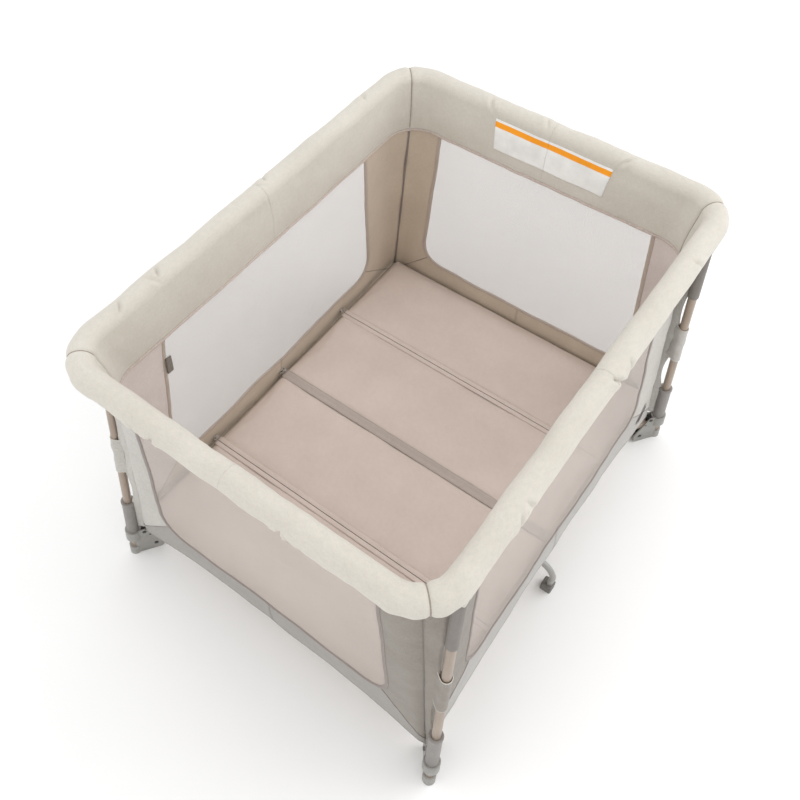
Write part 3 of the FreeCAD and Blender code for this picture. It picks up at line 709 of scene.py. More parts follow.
def cover_section(side, share):
    """Points and outward directions of a cover's section at each share: band front, tube, band back."""
    rail = sizes("rail")
    walls = sizes("walls")
    share = share[:, None]
    reach = wall_half(walls.band_foot)[0 if side == "long" else 1]
    foot_run = half_run(reach, wall_round(walls.band_foot), share)
    gap = walls.thickness / 2 + BAND_GAP
    front_foot = wall_place(side, foot_run, walls.band_foot, -gap - rail.band_lift)
    back_foot = wall_place(side, foot_run, walls.band_foot, -gap)
    centre = rail_place(side, share, 0.0, RAIL_Z)
    inner = rail_place(side, share, COVER_RADIUS, RAIL_Z)
    inward = (inner - centre) / COVER_RADIUS
    up = np.array([0.0, 0.0, 1.0])
    climb = np.linspace(0, 1, BAND_ROWS, endpoint=False)[None, :, None]
    front = front_foot + (inner - front_foot) * climb + inward * (BAND_BULGE * np.sin(climb * math.pi))
    turn = np.linspace(0, TUBE_END, TUBE_STEPS)[None, :, None]
    radial = inward * np.cos(turn) + up * np.sin(turn)
    tube = centre + radial * COVER_RADIUS
    drop = np.linspace(1 / BACK_ROWS, 1, BACK_ROWS)[None, :, None]
    back = tube[:, -1:] + (back_foot - tube[:, -1:]) * drop
    points = np.concatenate([front, tube, back], axis=1)
    outward = np.concatenate([inward + 0 * front, radial + 0 * tube, 0 * back], axis=1)
    angle = np.concatenate([climb[0, :, 0] - 1, turn[0, :, 0], np.full(BACK_ROWS, TUBE_END)])
    return points, outward, angle


def cover_relief(side, corner, share, angle, points):
    """How far the padding stands out: soft waves, tucks and the mitre seam."""
    rail = sizes("rail")
    sx, sy = CORNERS[corner]
    sign_along, sign_out = (sx, sy) if side == "long" else (sy, sx)
    reach = RAIL_X if side == "long" else RAIL_Y
    size = reach - rail.bend * (1 - EIGHTH)
    run = half_run(reach, rail.bend, share)[:, None]
    padded = smooth_step(angle, -1.0, -0.6) * (1 - smooth_step(angle, TUBE_END - 0.5, TUBE_END))
    relief = rail.puff * (0.7 * ripple(points, 0.11, 3) + 0.35 * ripple(points, 0.045, 4))
    for place, depth, middle, slant in TUCKS[(side, sign_out)]:
        spot = place * sign_along + slant * sign_along * np.sin(angle - middle)[None, :]
        window = bump(angle, middle, 0.5)[None, :]
        lips = bump(run, spot - 0.012, 0.008) + bump(run, spot + 0.012, 0.008)
        creases = np.sin((run - spot) * 700) * bump(run, spot, 0.02)
        shape = TUCK_LIPS * lips + TUCK_CREASES * creases - TUCK_DEPTH * bump(run, spot, 0.0036)
        relief = relief + depth * shape * window
    edge = size - run
    gathers = np.sin(edge * 210 + 2.0 * np.sin(angle * 3)[None, :]) * bump(edge, 0.03, 0.03)
    relief = relief + GATHERS * gathers * bump(angle, 5.2, 1.6)[None, :]
    relief = relief - rail.seam_depth * bump(edge, 0.0, 0.0035) + MITRE_LIP * bump(edge, 0.014, 0.01)
    return relief * padded[None, :] + BAND_WAVE * ripple(points, 0.07, 5) * (1 - padded)[None, :]


def cover_grid(side, corner, share):
    """Cover of half a side, in place, and the angle round its section."""
    points, outward, angle = cover_section(side, share)
    placed = mirrored(points, corner)
    relief = cover_relief(side, corner, share, angle, placed)
    return mirrored(points + outward * relief[..., None], corner), angle


def make_cover(side, corner):
    """Padded cover of half a side with its band and piping, and the stitches along its band. Gives back the ring at
    its mitre end, for the seam's thread, and the angles round it.
    """
    rail = sizes("rail")
    grid, angle = cover_grid(side, corner, COVER_SHARES)
    shape = Shape()
    shape.grid(grid, wrap_v=True)
    piping = grid[:, 0] + np.array([0, 0, -rail.piping * 0.4])
    shape.sweep(piping[::2], rail.piping, 10, finish=1)
    piece = shape.build(f"{corner}_{side}_rail_cover", [surface("cover_cloth"), surface("piping_cloth")])
    band = grid[:, 2] + units(grid[:, 2] - grid[:, -3]) * THREAD_LIFT
    stitches = stitch_rows(f"{corner}_{side}_band_stitches", [band])
    sx, sy = CORNERS[corner]
    sign, axis = (sx, 0) if side == "long" else (sy, 1)
    start, end = Vector(), Vector()
    start[axis] = sign * (PIVOT[side] + rail.joint_room)
    end[axis] = sign * (PIVOT[side] - rail.joint_room)
    for made in (piece, stitches):
        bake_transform(made)
    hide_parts(f"{corner}_{side}_cover")
    return grid[-1], angle


def make_mitre(corner, ring, angle):
    """Thread that shows in a corner's mitre seam."""
    low, high = MITRE_ANGLES
    shape = Shape()
    shape.sweep(ring[(angle > low) & (angle < high)], MITRE_THREAD, 6)
    piece = shape.build(f"{corner}_mitre_seam", [surface("mitre_thread")])
    attach(piece, f"{corner}_corner")


class PLAYPEN_OT_rail_covers(bpy.types.Operator):
    """Padded covers of the eight half rails, with the band and piping inside the pen"""

    bl_idname = "playpen.rail_covers"
    bl_label = "Rail covers"

    def execute(self, context):
        for corner in CORNERS:
            for side in SIDES:
                ring, angle = make_cover(side, corner)
            make_mitre(corner, ring, angle)
        return {"FINISHED"}


# Walls

WINDOW_HALF = {"long": (0.358, 0.1), "short": (0.2935, 0.074)}      # at the net's foot, and inward a metre up
WALL_TOP_Z = COVER_FOOT_Z + 0.004
BEND_TOP_Z = 0.24           # where the wall's outline meets the top of the window's lower corner
PANEL_STEPS, BINDING_STEPS, NET_STEPS = (40, 20, 60), (60, 16, 60), (2, 24, 40)     # along foot, round corner, up side
SEAM_CORD, HEM_CORD = 0.0009, 0.0021
BROAD_WAVE, FINE_WAVE = 0.0011, 0.0004
BINDING_STITCH = 0.28       # of the binding's width, from its middle
HEM_STITCH, SEAM_STITCH = 0.007, 0.004      # from the hem's edge and from the panel's seam
PAINTED_SHADE_CORNERS = ("rear_right", "front_left")     # opposite corners get painted shade: darker outer cloth, and the inner cloth in place of the lining
NET_COVER = 0.58            # share of the net that its threads cover
FOLD_LEAN = 0.17            # sideways share of the direction in which a folding wall gathers


def window_edge(side, steps):
    """Outline of half a net window in run and height: along its foot, round its corner and up its side."""
    walls = sizes("walls")
    foot_half, lean = WINDOW_HALF[side]
    foot, size = walls.window_foot, walls.window_round
    level = np.stack([np.linspace(0, foot_half - size, steps[0], endpoint=False), np.full(steps[0], foot)], -1)
    t = np.linspace(0, 1, steps[1], endpoint=False)[:, None]
    corner = np.array([foot_half, foot])
    start, end = corner - (size, 0), corner + (-lean * size, size)
    bend = start * (1 - t) ** 2 + corner * 2 * t * (1 - t) + end * t ** 2
    up = np.linspace(foot + size, WALL_TOP_Z, steps[2])
    rise = np.stack([foot_half - lean * (up - foot), up], -1)
    return np.concatenate([level, bend, rise])


def window_line(side):
    """Outline of half a net window for its binding, and the direction away from the net along it."""
    line = window_edge(side, BINDING_STEPS)
    ahead = units(np.gradient(line, axis=0))
    return line, np.stack([ahead[:, 1], -ahead[:, 0]], -1)


def hem_height(side, run):
    """Height of the hem, which is drawn up between the corners."""
    walls = sizes("walls")
    return HEM_Z + 0.002 + walls.hem_lift * (1 - np.clip(run / wall_reach(side, HEM_Z), 0, 1) ** 4)


def hem_pull(run, height):
    """How far a wall draws in near its hem, in the middle of a side."""
    walls = sizes("walls")
    return -walls.hem_pull * (1 - smooth_step(height, HEM_Z, 0.2)) * (1 - smooth_step(run, 0.05, 0.42))


def outer_edge(side, steps):
    """Outline of half a wall, matched to the window's: along the hem, then up the corner to the seam's end and on."""
    reach = wall_reach(side, HEM_Z)
    seam = steps[0] + steps[1] // 2
    run = reach * np.linspace(0, 1, seam - 3, endpoint=False) ** 0.92
    hem = np.stack([run, hem_height(side, run)], -1)
    corner = hem_height(side, reach)
    low = np.linspace(corner, seam_end(), 3, endpoint=False)
    middle = np.linspace(seam_end(), BEND_TOP_Z, steps[0] + steps[1] - seam, endpoint=False)
    high = np.linspace(BEND_TOP_Z, WALL_TOP_Z, steps[2])
    up = np.concatenate([low, middle, high])
    return np.concatenate([hem, np.stack([wall_reach(side, up), up], -1)])


def seam_end():
    """Height at which the seam between corner panel and hem meets the corner."""
    return HEM_Z + sizes("walls").seam_rise


def wall_ripple(points, height):
    """Small waves of the cloth, fading at its stretched edges."""
    waves = BROAD_WAVE * ripple(points, 0.18, 11) + FINE_WAVE * ripple(points, 0.05, 12)
    return waves * smooth_step(height, HEM_Z, HEM_Z + 0.03)


def wall_skin(side, corner, run, height, off):
    """Wall points at a corner, with the cloth's ripples and the hem's pull."""
    flat = mirrored(wall_place(side, run, height, 0.0), corner)
    waves = wall_ripple(flat, height) + hem_pull(run, height)
    return mirrored(wall_place(side, run, height, off + waves), corner)


def make_panel(side, corner):
    """Corner panel and half the hem of a wall, in outer and inner cloth, with its seam."""
    walls = sizes("walls")
    seam = PANEL_STEPS[0] + PANEL_STEPS[1] // 2
    inner_line, outer_line = window_edge(side, PANEL_STEPS), outer_edge(side, PANEL_STEPS)
    share = np.linspace(0, 1, 18)[None, :, None]
    flat = inner_line[:, None] * (1 - share) + outer_line[:, None] * share
    run, height = flat[..., 0], flat[..., 1]
    half = walls.thickness / 2
    outside, inside = (wall_skin(side, corner, run, height, off) for off in (half, -half))
    is_hem = np.repeat((np.arange(len(run) - 1) < seam)[:, None], share.shape[1] - 1, axis=1)
    shape = Shape()
    # painted shade: at the painted-shade corners the darker inner cloth takes the place of the lining
    lining = 2 if corner in PAINTED_SHADE_CORNERS else 3
    shape.shell(outside, inside, np.where(is_hem, 1, 0), np.where(is_hem, 2, lining), 0)
    for lift in (half + THREAD_LIFT, -half - THREAD_LIFT):
        shape.sweep(wall_skin(side, corner, run[seam], height[seam], lift), SEAM_CORD, 6, finish=4)
    hem = outer_line[:seam - 2]
    shape.sweep(wall_skin(side, corner, hem[:, 0], hem[:, 1], 0.0), HEM_CORD, 8, finish=1)
    # the short sides' hem is the darker one, as painted shade
    names = ("hem_cloth" if side == "long" else "shaded_hem_cloth", "inner_cloth", "lining_cloth", "binding_cloth")
    return shape.build(f"{corner}_{side}_wall_panel", [outside_of(corner), *map(surface, names)])


def make_binding(side, corner):
    """Binding round half a net window."""
    walls = sizes("walls")
    line, away = window_line(side)
    turn = full_turn(14)
    across = 0.5 * walls.binding_width * np.sign(np.cos(turn)) * np.abs(np.cos(turn)) ** 0.6
    lift = walls.binding_lift * np.sign(np.sin(turn)) * np.abs(np.sin(turn)) ** 0.8
    flat = line[:, None] + away[:, None] * across[None, :, None]
    middle = (lift + np.roll(lift, -1)) / 2
    faces_in = np.repeat((middle < 0).astype(int)[None, :], len(line) - 1, axis=0)
    shape = Shape()
    shape.grid(wall_skin(side, corner, flat[..., 0], flat[..., 1], lift[None, :]), wrap_v=True, finish=faces_in)
    return shape.build(f"{corner}_{side}_binding", [surface("binding_cloth"), surface("pale_binding_cloth")])


def make_wall_stitches(side, corner):
    """Stitches on both faces of the binding, along the hem and beside the corner panel's seam."""
    walls = sizes("walls")
    line, away = window_line(side)
    outer = line + away * walls.binding_width * BINDING_STITCH
    lines = [wall_skin(side, corner, outer[:, 0], outer[:, 1], lift * walls.binding_lift) for lift in (-1, 1)]
    run = np.linspace(0, wall_reach(side, HEM_Z) - 0.004, 120)
    height = hem_height(side, run) + HEM_STITCH
    lines += [wall_skin(side, corner, run, height, lift * walls.thickness / 2) for lift in (-1.1, 1.1)]
    start = line[BINDING_STEPS[0] + BINDING_STEPS[1] // 2] + np.array([walls.binding_width, 0])
    end = np.array([wall_reach(side, seam_end()), seam_end()])
    seam = start + (end - start) * np.linspace(0, 1, 40)[:, None]
    lines.append(wall_skin(side, corner, seam[:, 0], seam[:, 1] - SEAM_STITCH, walls.thickness * 0.56))
    return stitch_rows(f"{corner}_{side}_wall_stitches", lines)


def make_net(side, corner):
    """Half of a wall's net window, one layer of net."""
    line = window_edge(side, NET_STEPS)[NET_STEPS[0]:]
    run = np.linspace(0, 1, 40)[None, :] * line[:, :1]
    height = line[:, 1:] + 0 * run
    shape = Shape()
    shape.grid(wall_skin(side, corner, run, height, 0.0))
    net = surface("net_cloth", sizes("walls").net_pitch, NET_COVER)
    return shape.build(f"{corner}_{side}_net", [net], closed=False)


def gather(side, sx, sy):
    """Direction in which half a wall gathers as the pen folds, square to its corner seam, and a point there."""
    heights = (HEM_Z, sizes("walls").band_foot)
    low, high = (Vector(wall_place(side, wall_reach(side, z), z, 0.0) * (sx, sy, 1)) for z in heights)
    seam = (high - low).normalized()
    axis = Vector((sx, -FOLD_LEAN * sy, 0)) if side == "long" else Vector((-FOLD_LEAN * sx, sy, 0))
    return (axis - seam * axis.dot(seam)).normalized(), low


class PLAYPEN_OT_walls(bpy.types.Operator):
    """Walls: corner panels with the hem, binding and net of each half side"""

    bl_idname = "playpen.walls"
    bl_label = "Walls"

    def execute(self, context):
        for corner, (sx, sy) in CORNERS.items():
            for side in SIDES:
                makers = (make_panel, make_binding, make_net, make_wall_stitches)
                panel, binding, net, stitches = (make(side, corner) for make in makers)
                reach = wall_reach(side, HEM_Z)
                axis, anchor = gather(side, sx, sy)
                for piece in (panel, binding, net, stitches):
                    attach(piece, f"{corner}_corner")
                    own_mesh(piece)
                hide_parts(f"{corner}_fabric")
        return {"FINISHED"}


# Loops on the posts

LOOP_SPAN = (RAIL_Z - 0.418, RAIL_Z - 0.305)
LOOP_FLARES = ((LOOP_SPAN[1], 0.05, 0.016), (LOOP_SPAN[0], 0.02, 0.012))     # level, share of the radius and reach
LOOP_CORD, LOOP_SAG, LOOP_TILT = 0.0009, 0.0007, 0.1
COLLAR_SPAN = (RAIL_Z - 0.046, RAIL_Z - 0.022)
COLLAR_CLOTH, COLLAR_GAP, COLLAR_FLARE, COLLAR_FOLD = 0.0011, 0.003, 0.004, 0.0022
FIN_GAP = 0.0012            # from the fin's edge to what it reaches
FIN_SCALLOPS = ((SLEEVE_TOP, LOOP_SPAN[0], 0.010), (LOOP_SPAN[1], SOCKET_FOOT, 0.005))      # low, high and depth
FIN_HALF, FIN_WAVE, FIN_CORD = 0.0011, 0.0014, 0.0012


def post_and_seam(height):
    """For each height: the post's line, the corner seam's distance and place, and directions outward and across."""
    post = post_line(height)
    seam = wall_place("long", wall_reach("long", height), height, 0.0)
    away = post - seam
    span = np.linalg.norm(away, axis=1)
    away /= span[:, None]
    return post, seam, span, away, np.stack([away[:, 1], -away[:, 0], 0 * height], -1)


def post_room(height):
    """Distance from the post's line at which the fin of cloth ends: beside sleeve, loop, post or socket."""
    room = np.where(height < SLEEVE_TOP, SLEEVE_RADIUS, np.where(height > SOCKET_FOOT, SOCKET_RADIUS, POST_RADIUS))
    room = room + FIN_GAP
    for low, high, depth in FIN_SCALLOPS:
        share = np.clip((height - low) / (high - low), 0, 1)
        room = room + depth * np.sin(math.pi * share) ** 0.7
    return room


def make_fin(corner):
    """Fin of cloth along the corner seam, which reaches out to the post, with an edge cord."""
    height = np.linspace(HEM_Z + 0.006, COVER_FOOT_Z - 0.002, 130)
    _, seam, span, away, across = post_and_seam(height)
    reach = np.linspace(0, 1, 8)[None, :, None] * (span - post_room(height))[:, None, None]
    web = seam[:, None] + away[:, None] * reach
    waves = FIN_WAVE * ripple(mirrored(web, corner), 0.09, 22)[..., None]
    web = web + across[:, None] * waves * (reach > 0)
    half = across[:, None] * FIN_HALF
    shape = Shape()
    shape.shell(mirrored(web + half, corner), mirrored(web - half, corner), 0, 0, 1)
    shape.sweep(mirrored(web[:, -1], corner), FIN_CORD, 8, 0)
    piece = shape.build(f"{corner}_corner_fin", [outside_of(corner), surface("hem_cloth")])
    attach(piece, f"{corner}_corner")


def loop_ring(height, radius):
    """Plan of a loop at each height: round the post, and drawn together towards the corner seam."""
    turn = np.linspace(-math.pi, math.pi, 56, endpoint=False)
    centre, _, _, away, across = post_and_seam(height)
    back = np.clip((np.abs(turn) - 0.62 * math.pi) / (0.38 * math.pi), 0, 1)
    out = np.cos(turn) * radius - back ** 1.5 * radius * 0.75
    wide = np.sin(turn) * radius * (1 - 0.25 * back)
    return centre[:, None] + away[:, None] * out[None, :, None] + across[:, None] * wide[None, :, None]


def make_loop(corner):
    """Cloth loop round a post, with light rims, and its inner face in near-black cloth as painted shade between loop
    and post.
    """
    trims = sizes("trims")
    height = np.linspace(*LOOP_SPAN, 30)
    centre = post_line(height)[:, None]
    inner_radius = POST_RADIUS + trims.loop_room
    flare = 1 + sum(share * bump(height, level, reach) for level, share, reach in LOOP_FLARES)
    grids = []
    for radius in (inner_radius + trims.loop_cloth, inner_radius):
        ring = centre + (loop_ring(height, radius) - centre) * flare[:, None, None]
        sag = LOOP_SAG * ripple(mirrored(ring, corner), 0.04, 21)
        ring = ring + (ring - centre) / radius * sag[..., None]
        ring[..., 2] -= LOOP_TILT * (ring[..., 1] - centre[..., 1])
        grids.append(mirrored(ring, corner))
    outer, inner = grids
    shape = Shape()
    shape.grid(outer, wrap_v=True, finish=0)
    # inner face near-black: painted shade between loop and post
    shape.grid(inner, wrap_v=True, finish=1)
    for row in (0, -1):
        shape.grid(np.stack([outer[row], inner[row]]), wrap_v=True, finish=2)
        shape.sweep((outer[row] + inner[row]) / 2, LOOP_CORD, 8, 2, closed=True)
    piece = shape.build(f"{corner}_post_loop", [outside_of(corner), surface("dark_cloth"), surface("cover_cloth")])
    attach(piece, f"{corner}_corner")


def make_gather(corner):
    """Cover's gathered collar under the rail's corner, round the socket."""
    height = np.linspace(*COLLAR_SPAN, 26)
    turn = full_turn(120)
    centre = post_line(height)
    share = np.linspace(0, 1, len(height))[:, None]
    folds = np.sin(7 * turn + 1.3 * np.sin(2 * turn))[None, :] * COLLAR_FOLD * (1 - share) ** 0.5
    radius = SOCKET_RADIUS + COLLAR_GAP + COLLAR_FLARE * share ** 1.3 + folds + 0.001 * np.sin(math.pi * share)
    ring = np.stack([np.cos(turn)[None, :] * radius, np.sin(turn)[None, :] * radius, 0 * radius], -1)
    outer = mirrored(centre[:, None] + ring, corner)
    inner = mirrored(centre[:, None] + ring * ((radius - COLLAR_CLOTH) / radius)[..., None], corner)
    shape = Shape()
    shape.grid(outer, wrap_v=True)
    # inner face near-black: painted shade under the collar
    shape.grid(inner, wrap_v=True, finish=1)
    for row in (0, -1):
        shape.grid(np.stack([outer[row], inner[row]]), wrap_v=True)
    piece = shape.build(f"{corner}_gathered_collar", [surface("cover_cloth"), surface("dark_cloth")])
    attach(piece, f"{corner}_corner")


class PLAYPEN_OT_post_loops(bpy.types.Operator):
    """Loops and fins that hold the walls to the posts, and the gathered collars under the rail's corners"""

    bl_idname = "playpen.post_loops"
    bl_label = "Post loops"

    def execute(self, context):
        for corner in CORNERS:
            make_loop(corner)
            make_fin(corner)
            make_gather(corner)
        return {"FINISHED"}


# Mattress and floor


def mesh_points(mesh):
    """A mesh's vertices as an array."""
    points = np.empty(len(mesh.vertices) * 3)
    mesh.vertices.foreach_get("co", points)
    return points.reshape(-1, 3)


def apply_modifiers(piece):
    """Turns a piece into its evaluated mesh, and drops its modifiers."""
    graph = bpy.context.evaluated_depsgraph_get()
    made = bpy.data.meshes.new_from_object(piece.evaluated_get(graph), depsgraph=graph)
    piece.modifiers.clear()
    piece.data = made


def swell(piece, voxel, steps, cap, floor_z):
    """Lets a closed cloth shape swell with air, and keeps it flat on its support."""
    remesh = piece.modifiers.new("remesh", "REMESH")
    remesh.mode = "VOXEL"
    remesh.voxel_size = voxel
    apply_modifiers(piece)
    before = mesh_points(piece.data)
    settings = piece.modifiers.new("cloth", "CLOTH").settings
    settings.use_pressure = True
    settings.uniform_pressure_force = 4
    settings.effector_weights.gravity = 0
    settings.quality = 4
    for step in range(1, steps + 1):
        bpy.context.scene.frame_set(step)
    apply_modifiers(piece)
    bpy.context.scene.frame_set(1)
    after = mesh_points(piece.data)
    moved = after - before
    far = np.linalg.norm(moved, axis=1)[:, None]
    after = before + moved * np.minimum(1, cap / np.maximum(far, 1e-9))
    after[:, 2] = np.maximum(after[:, 2], floor_z)
    piece.data.vertices.foreach_set("co", after.ravel())
    divide = piece.modifiers.new("divide", "SUBSURF")
    divide.levels = divide.render_levels = 1
    apply_modifiers(piece)
    piece.data.shade_smooth()


def pad_start(name, low, high, corner, edge, material):
    """Block with rounded upright corners and softened edges, as a start for a pad."""
    work = bmesh.new()
    bmesh.ops.create_cube(work, size=1)
    scale = Matrix.Diagonal((*(high - low), 1))
    bmesh.ops.transform(work, matrix=Matrix.Translation((low + high) / 2) @ scale, verts=work.verts)
    upright = [e for e in work.edges if abs(e.verts[0].co.z - e.verts[1].co.z) > edge]
    bmesh.ops.bevel(work, geom=upright, offset=corner, segments=5, profile=0.5, affect="EDGES")
    rims = [e for e in work.edges if abs(e.verts[0].co.z - e.verts[1].co.z) < edge
            and len(e.link_faces) == 2 and e.calc_face_angle() > 1]
    bmesh.ops.bevel(work, geom=rims, offset=edge, segments=2, profile=0.5, affect="EDGES")
    mesh = bpy.data.meshes.new(name)
    work.to_mesh(mesh)
    work.free()
    mesh.materials.append(material)
    return linked(name, mesh)


# panels that stand up as the pad folds, where the leaning walls press on their ends: the fold and the squeeze, which
# are not applied; these panels get meshes of their own
PANEL_SQUEEZE = {1: ("left_panel_fold", 0.955), 3: ("middle_panel_fold", 0.92), 4: ("middle_panel_fold", 0.92)}
SEAM_GAP = 0.0005           # from the edge of a panel to the seam's middle
SEAM_SHARES = (-1, -0.75, -0.45, -0.16, -0.06, 0, 0.06, 0.16, 0.45, 0.75, 1)
# the second cloth is painted shade along the seams' middles
SEAM_CLOTHS = ("mattress_cloth", "dark_cloth")
PAINTED_SHADE_SHARE = 0.05           # of half a seam's width, painted dark along its middle as shade in the gap between panels
STRIPS = (
    # name, panel, surfaces, width's name, places across in half widths, room at the ends, depth below the panel's
    # top, depth and width of the crease, height and seed of the waves
    ("mattress_middle_strip", 2, ("strip_cloth",), "strip", np.linspace(-1, 1, 9), 0.004, 0.0012, 0.001, 0.003,
     0.0004, 33),
    ("mattress_seam_1", 1, SEAM_CLOTHS, "seam", SEAM_SHARES, 0.003, 0.0018, 0.0014, 0.0014, 0.0003, 34),
    ("mattress_seam_3", 3, SEAM_CLOTHS, "seam", SEAM_SHARES, 0.003, 0.0018, 0.0014, 0.0014, 0.0003, 36),
)
STRIP_CLOTH = 0.0014
PAD_WAVE, PAD_WRINKLE = 0.0007, 0.0003
TIE_CORD, TIE_LIFT, TIE_WAVE = 0.0011, 0.0035, 0.0025
TIES = ((1, 0.5, 0.0055), (2, 0.0, 0.0085), (3, 2.6, 0.0055))       # panel, turn and size of a bow


def make_mattress_panel(index):
    """One swollen panel of the mattress pad."""
    pad = sizes("mattress")
    node = f"mattress_panel_{index}"
    low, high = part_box(node)
    inset = Vector((pad.inset * 0.2, -pad.overhang, 0))
    start = low + inset, high - inset - Vector((0, 0, pad.inset))
    piece = pad_start(f"mattress_pad_{index}", *start, pad.corner, pad.edge_round, surface("mattress_cloth"))
    swell(piece, pad.voxel, pad.steps, pad.swell, low.z)
    points = mesh_points(piece.data)
    above = smooth_step(points[:, 2], low.z, high.z)
    points[:, 2] += above * (PAD_WAVE * ripple(points, 0.2, 31) + PAD_WRINKLE * ripple(points, 0.07, 32))
    piece.data.vertices.foreach_set("co", points.ravel())
    attach(piece, f"mattress_{index}")
    if index in PANEL_SQUEEZE:
        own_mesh(piece)
    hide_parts(node)


def make_strip(name, index, surfaces, width, shares, room, sink, crease, crease_width, wave, seed):
    """Strip of cloth over the seam beside a panel of the mattress, creased along its middle. With a second cloth, a
    near-black line along its middle is painted shade of the gap.
    """
    low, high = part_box(f"mattress_panel_{index}")
    across = np.array(shares) * getattr(sizes("mattress"), width) / 2
    y, offset = np.meshgrid(np.linspace(low.y + room, high.y - room, 120), across, indexing="ij")
    z = high.z - sink - crease * bump(offset, 0.0, crease_width)
    top = np.stack([high.x + SEAM_GAP + offset, y, z], -1)
    top[..., 2] += wave * ripple(top, 0.05, seed)
    # near-black faces along the middle: painted shade of the gap between panels
    dark = (np.abs(across[1:] + across[:-1]) / 2 < PAINTED_SHADE_SHARE * across[-1]).astype(int)
    shape = Shape()
    shape.shell(top, top - np.array([0, 0, STRIP_CLOTH]), np.repeat(dark[None, :], len(top) - 1, axis=0))
    attach(shape.build(name, map(surface, surfaces)), f"mattress_{index}")


def make_ties():
    """Small bows of tape that hold the mattress to the wall at the ends of its seams."""
    for index, turn, size in TIES:
        _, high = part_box(f"mattress_panel_{index}")
        for end, sign in (("rear", 1), ("front", -1)):
            place = np.array([high.x + SEAM_GAP, sign * (high.y + 0.0015), high.z - 0.001])
            angle = full_turn(40)
            bow = np.stack([size * np.cos(angle + turn * 0.2), 0.6 * size * np.sin(2 * angle) * sign,
                            TIE_LIFT + TIE_WAVE * np.sin(3 * angle + turn)], -1)
            shape = Shape()
            shape.sweep(place + bow, TIE_CORD, 6, 0, closed=True)
            for lean in (-1, 1):
                t = np.linspace(0, 1, 9)[:, None]
                tail = t * np.array([lean * size * 1.1, sign * 0.004, -0.004]) + np.array([0, 0, 0.004])
                shape.sweep(place + tail, TIE_CORD, 6, 1)
            piece = shape.build(f"mattress_tie_{index}_{end}", [surface("tie_tape"), surface("dark_cloth")])
            attach(piece, f"mattress_{index}")


class PLAYPEN_OT_mattress(bpy.types.Operator):
    """Mattress pad of four swollen panels, with the strip over its middle seam and ties at the seams' ends"""

    bl_idname = "playpen.mattress"
    bl_label = "Mattress"

    def execute(self, context):
        for index in (1, 2, 3, 4):
            make_mattress_panel(index)
        for strip in STRIPS:
            make_strip(*strip)
        make_ties()
        return {"FINISHED"}


FLOOR_INSET = Vector((0.004, 0.004, 0))
FLOOR_SAG = 0.0022


class PLAYPEN_OT_floor_cloth(bpy.types.Operator):
    """Cloth floor under the mattress"""

    bl_idname = "playpen.floor_cloth"
    bl_label = "Floor cloth"

    def execute(self, context):
        low, high = FLOOR[0] + FLOOR_INSET, FLOOR[1] - FLOOR_INSET
        x, y = np.meshgrid(np.linspace(low.x, high.x, 90), np.linspace(low.y, high.y, 70), indexing="ij")
        top = np.stack([x, y, np.full_like(x, high.z)], -1)
        edge = np.minimum(high.x - np.abs(x), high.y - np.abs(y))
        on_hub = 1 - smooth_step(np.maximum(np.abs(x), np.abs(y)), 0.09, 0.2)
        waves = -FLOOR_SAG * (1 - on_hub) * (1 + 0.6 * ripple(top, 0.2, 41)) * smooth_step(edge, 0.0, 0.08)
        top[..., 2] += np.minimum(waves, 0)
        shape = Shape()
        shape.shell(top, top - np.array([0, 0, high.z - low.z]))
        piece = shape.build("floor_cloth", [surface("inner_cloth")])
        attach(piece, "floor")
        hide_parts("fabric_floor")
        return {"FINISHED"}


# Frame

# surfaces by the endings of the nodes' names: of CAD nodes that stay, and of mouldings that get rounded edges
PAINTED = {"_post": "post_coat", "_floor_bar": "post_coat", "_long_rail": "post_coat", "_short_rail": "post_coat",
           "_middle_leg": "leg_coat", "_pins_and_rivets": "rivet_black", "hub_pins": "rivet_black",
           "pull_strap": "dark_cloth"}
MOULDED = {"_foot_bracket": "foot_plastic", "_post_sleeve": "sleeve_plastic", "_corner_casting": "casting_plastic",
           "_leg_pad": "pad_rubber", "hub_body": "sleeve_plastic", "_latch": "sleeve_plastic"}


def rounded_copy(node, edge, material):
    """A moulding with its edges rounded, in place of a CAD node."""
    work = bmesh.new()
    work.from_mesh(frame["nodes"][node].data)
    bmesh.ops.remove_doubles(work, verts=work.verts, dist=1e-6)
    bmesh.ops.dissolve_limit(work, angle_limit=math.radians(0.8), verts=work.verts, edges=work.edges)
    mesh = bpy.data.meshes.new(node + "_moulding")
    work.to_mesh(mesh)
    work.free()
    mesh.materials.clear()
    mesh.materials.append(material)
    piece = linked(node + "_moulding", mesh)
    mesh.shade_smooth()
    bevel = piece.modifiers.new("bevel", "BEVEL")
    bevel.width = edge
    bevel.segments = 2
    bevel.limit_method = "ANGLE"
    bevel.angle_limit = math.radians(40)
    bevel.harden_normals = True
    apply_modifiers(piece)
    body = next(name for name, nodes in frame["record"]["behaviour"]["bodies"].items() if node in nodes)
    attach(piece, body)
    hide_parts(node)


class PLAYPEN_OT_frame(bpy.types.Operator):
    """Finishes of tubes and fasteners, and rounded mouldings"""

    bl_idname = "playpen.frame"
    bl_label = "Frame"

    def execute(self, context):
        for node in frame["nodes"]:
            for ending, name in PAINTED.items():
                if node.endswith(ending):
                    frame["nodes"][node].data.materials.clear()
                    frame["nodes"][node].data.materials.append(surface(name))
            for ending, name in MOULDED.items():
                if node.endswith(ending):
                    rounded_copy(node, context.scene.pen_frame.edge, surface(name))
        return {"FINISHED"}


# Trims


LABEL_HALVES = (("rear", -0.0003, 0.128, 1), ("front", -0.146, 0.0003, -1))     # ends along Y, and side of the pen
LABEL_CLIMB, STRIPE_CLIMB = (0.31, 0.97), (0.8, 0.93)       # shares of the way from the piping up to the rail
LABEL_LIFTS = (0.0011, 0.0002)


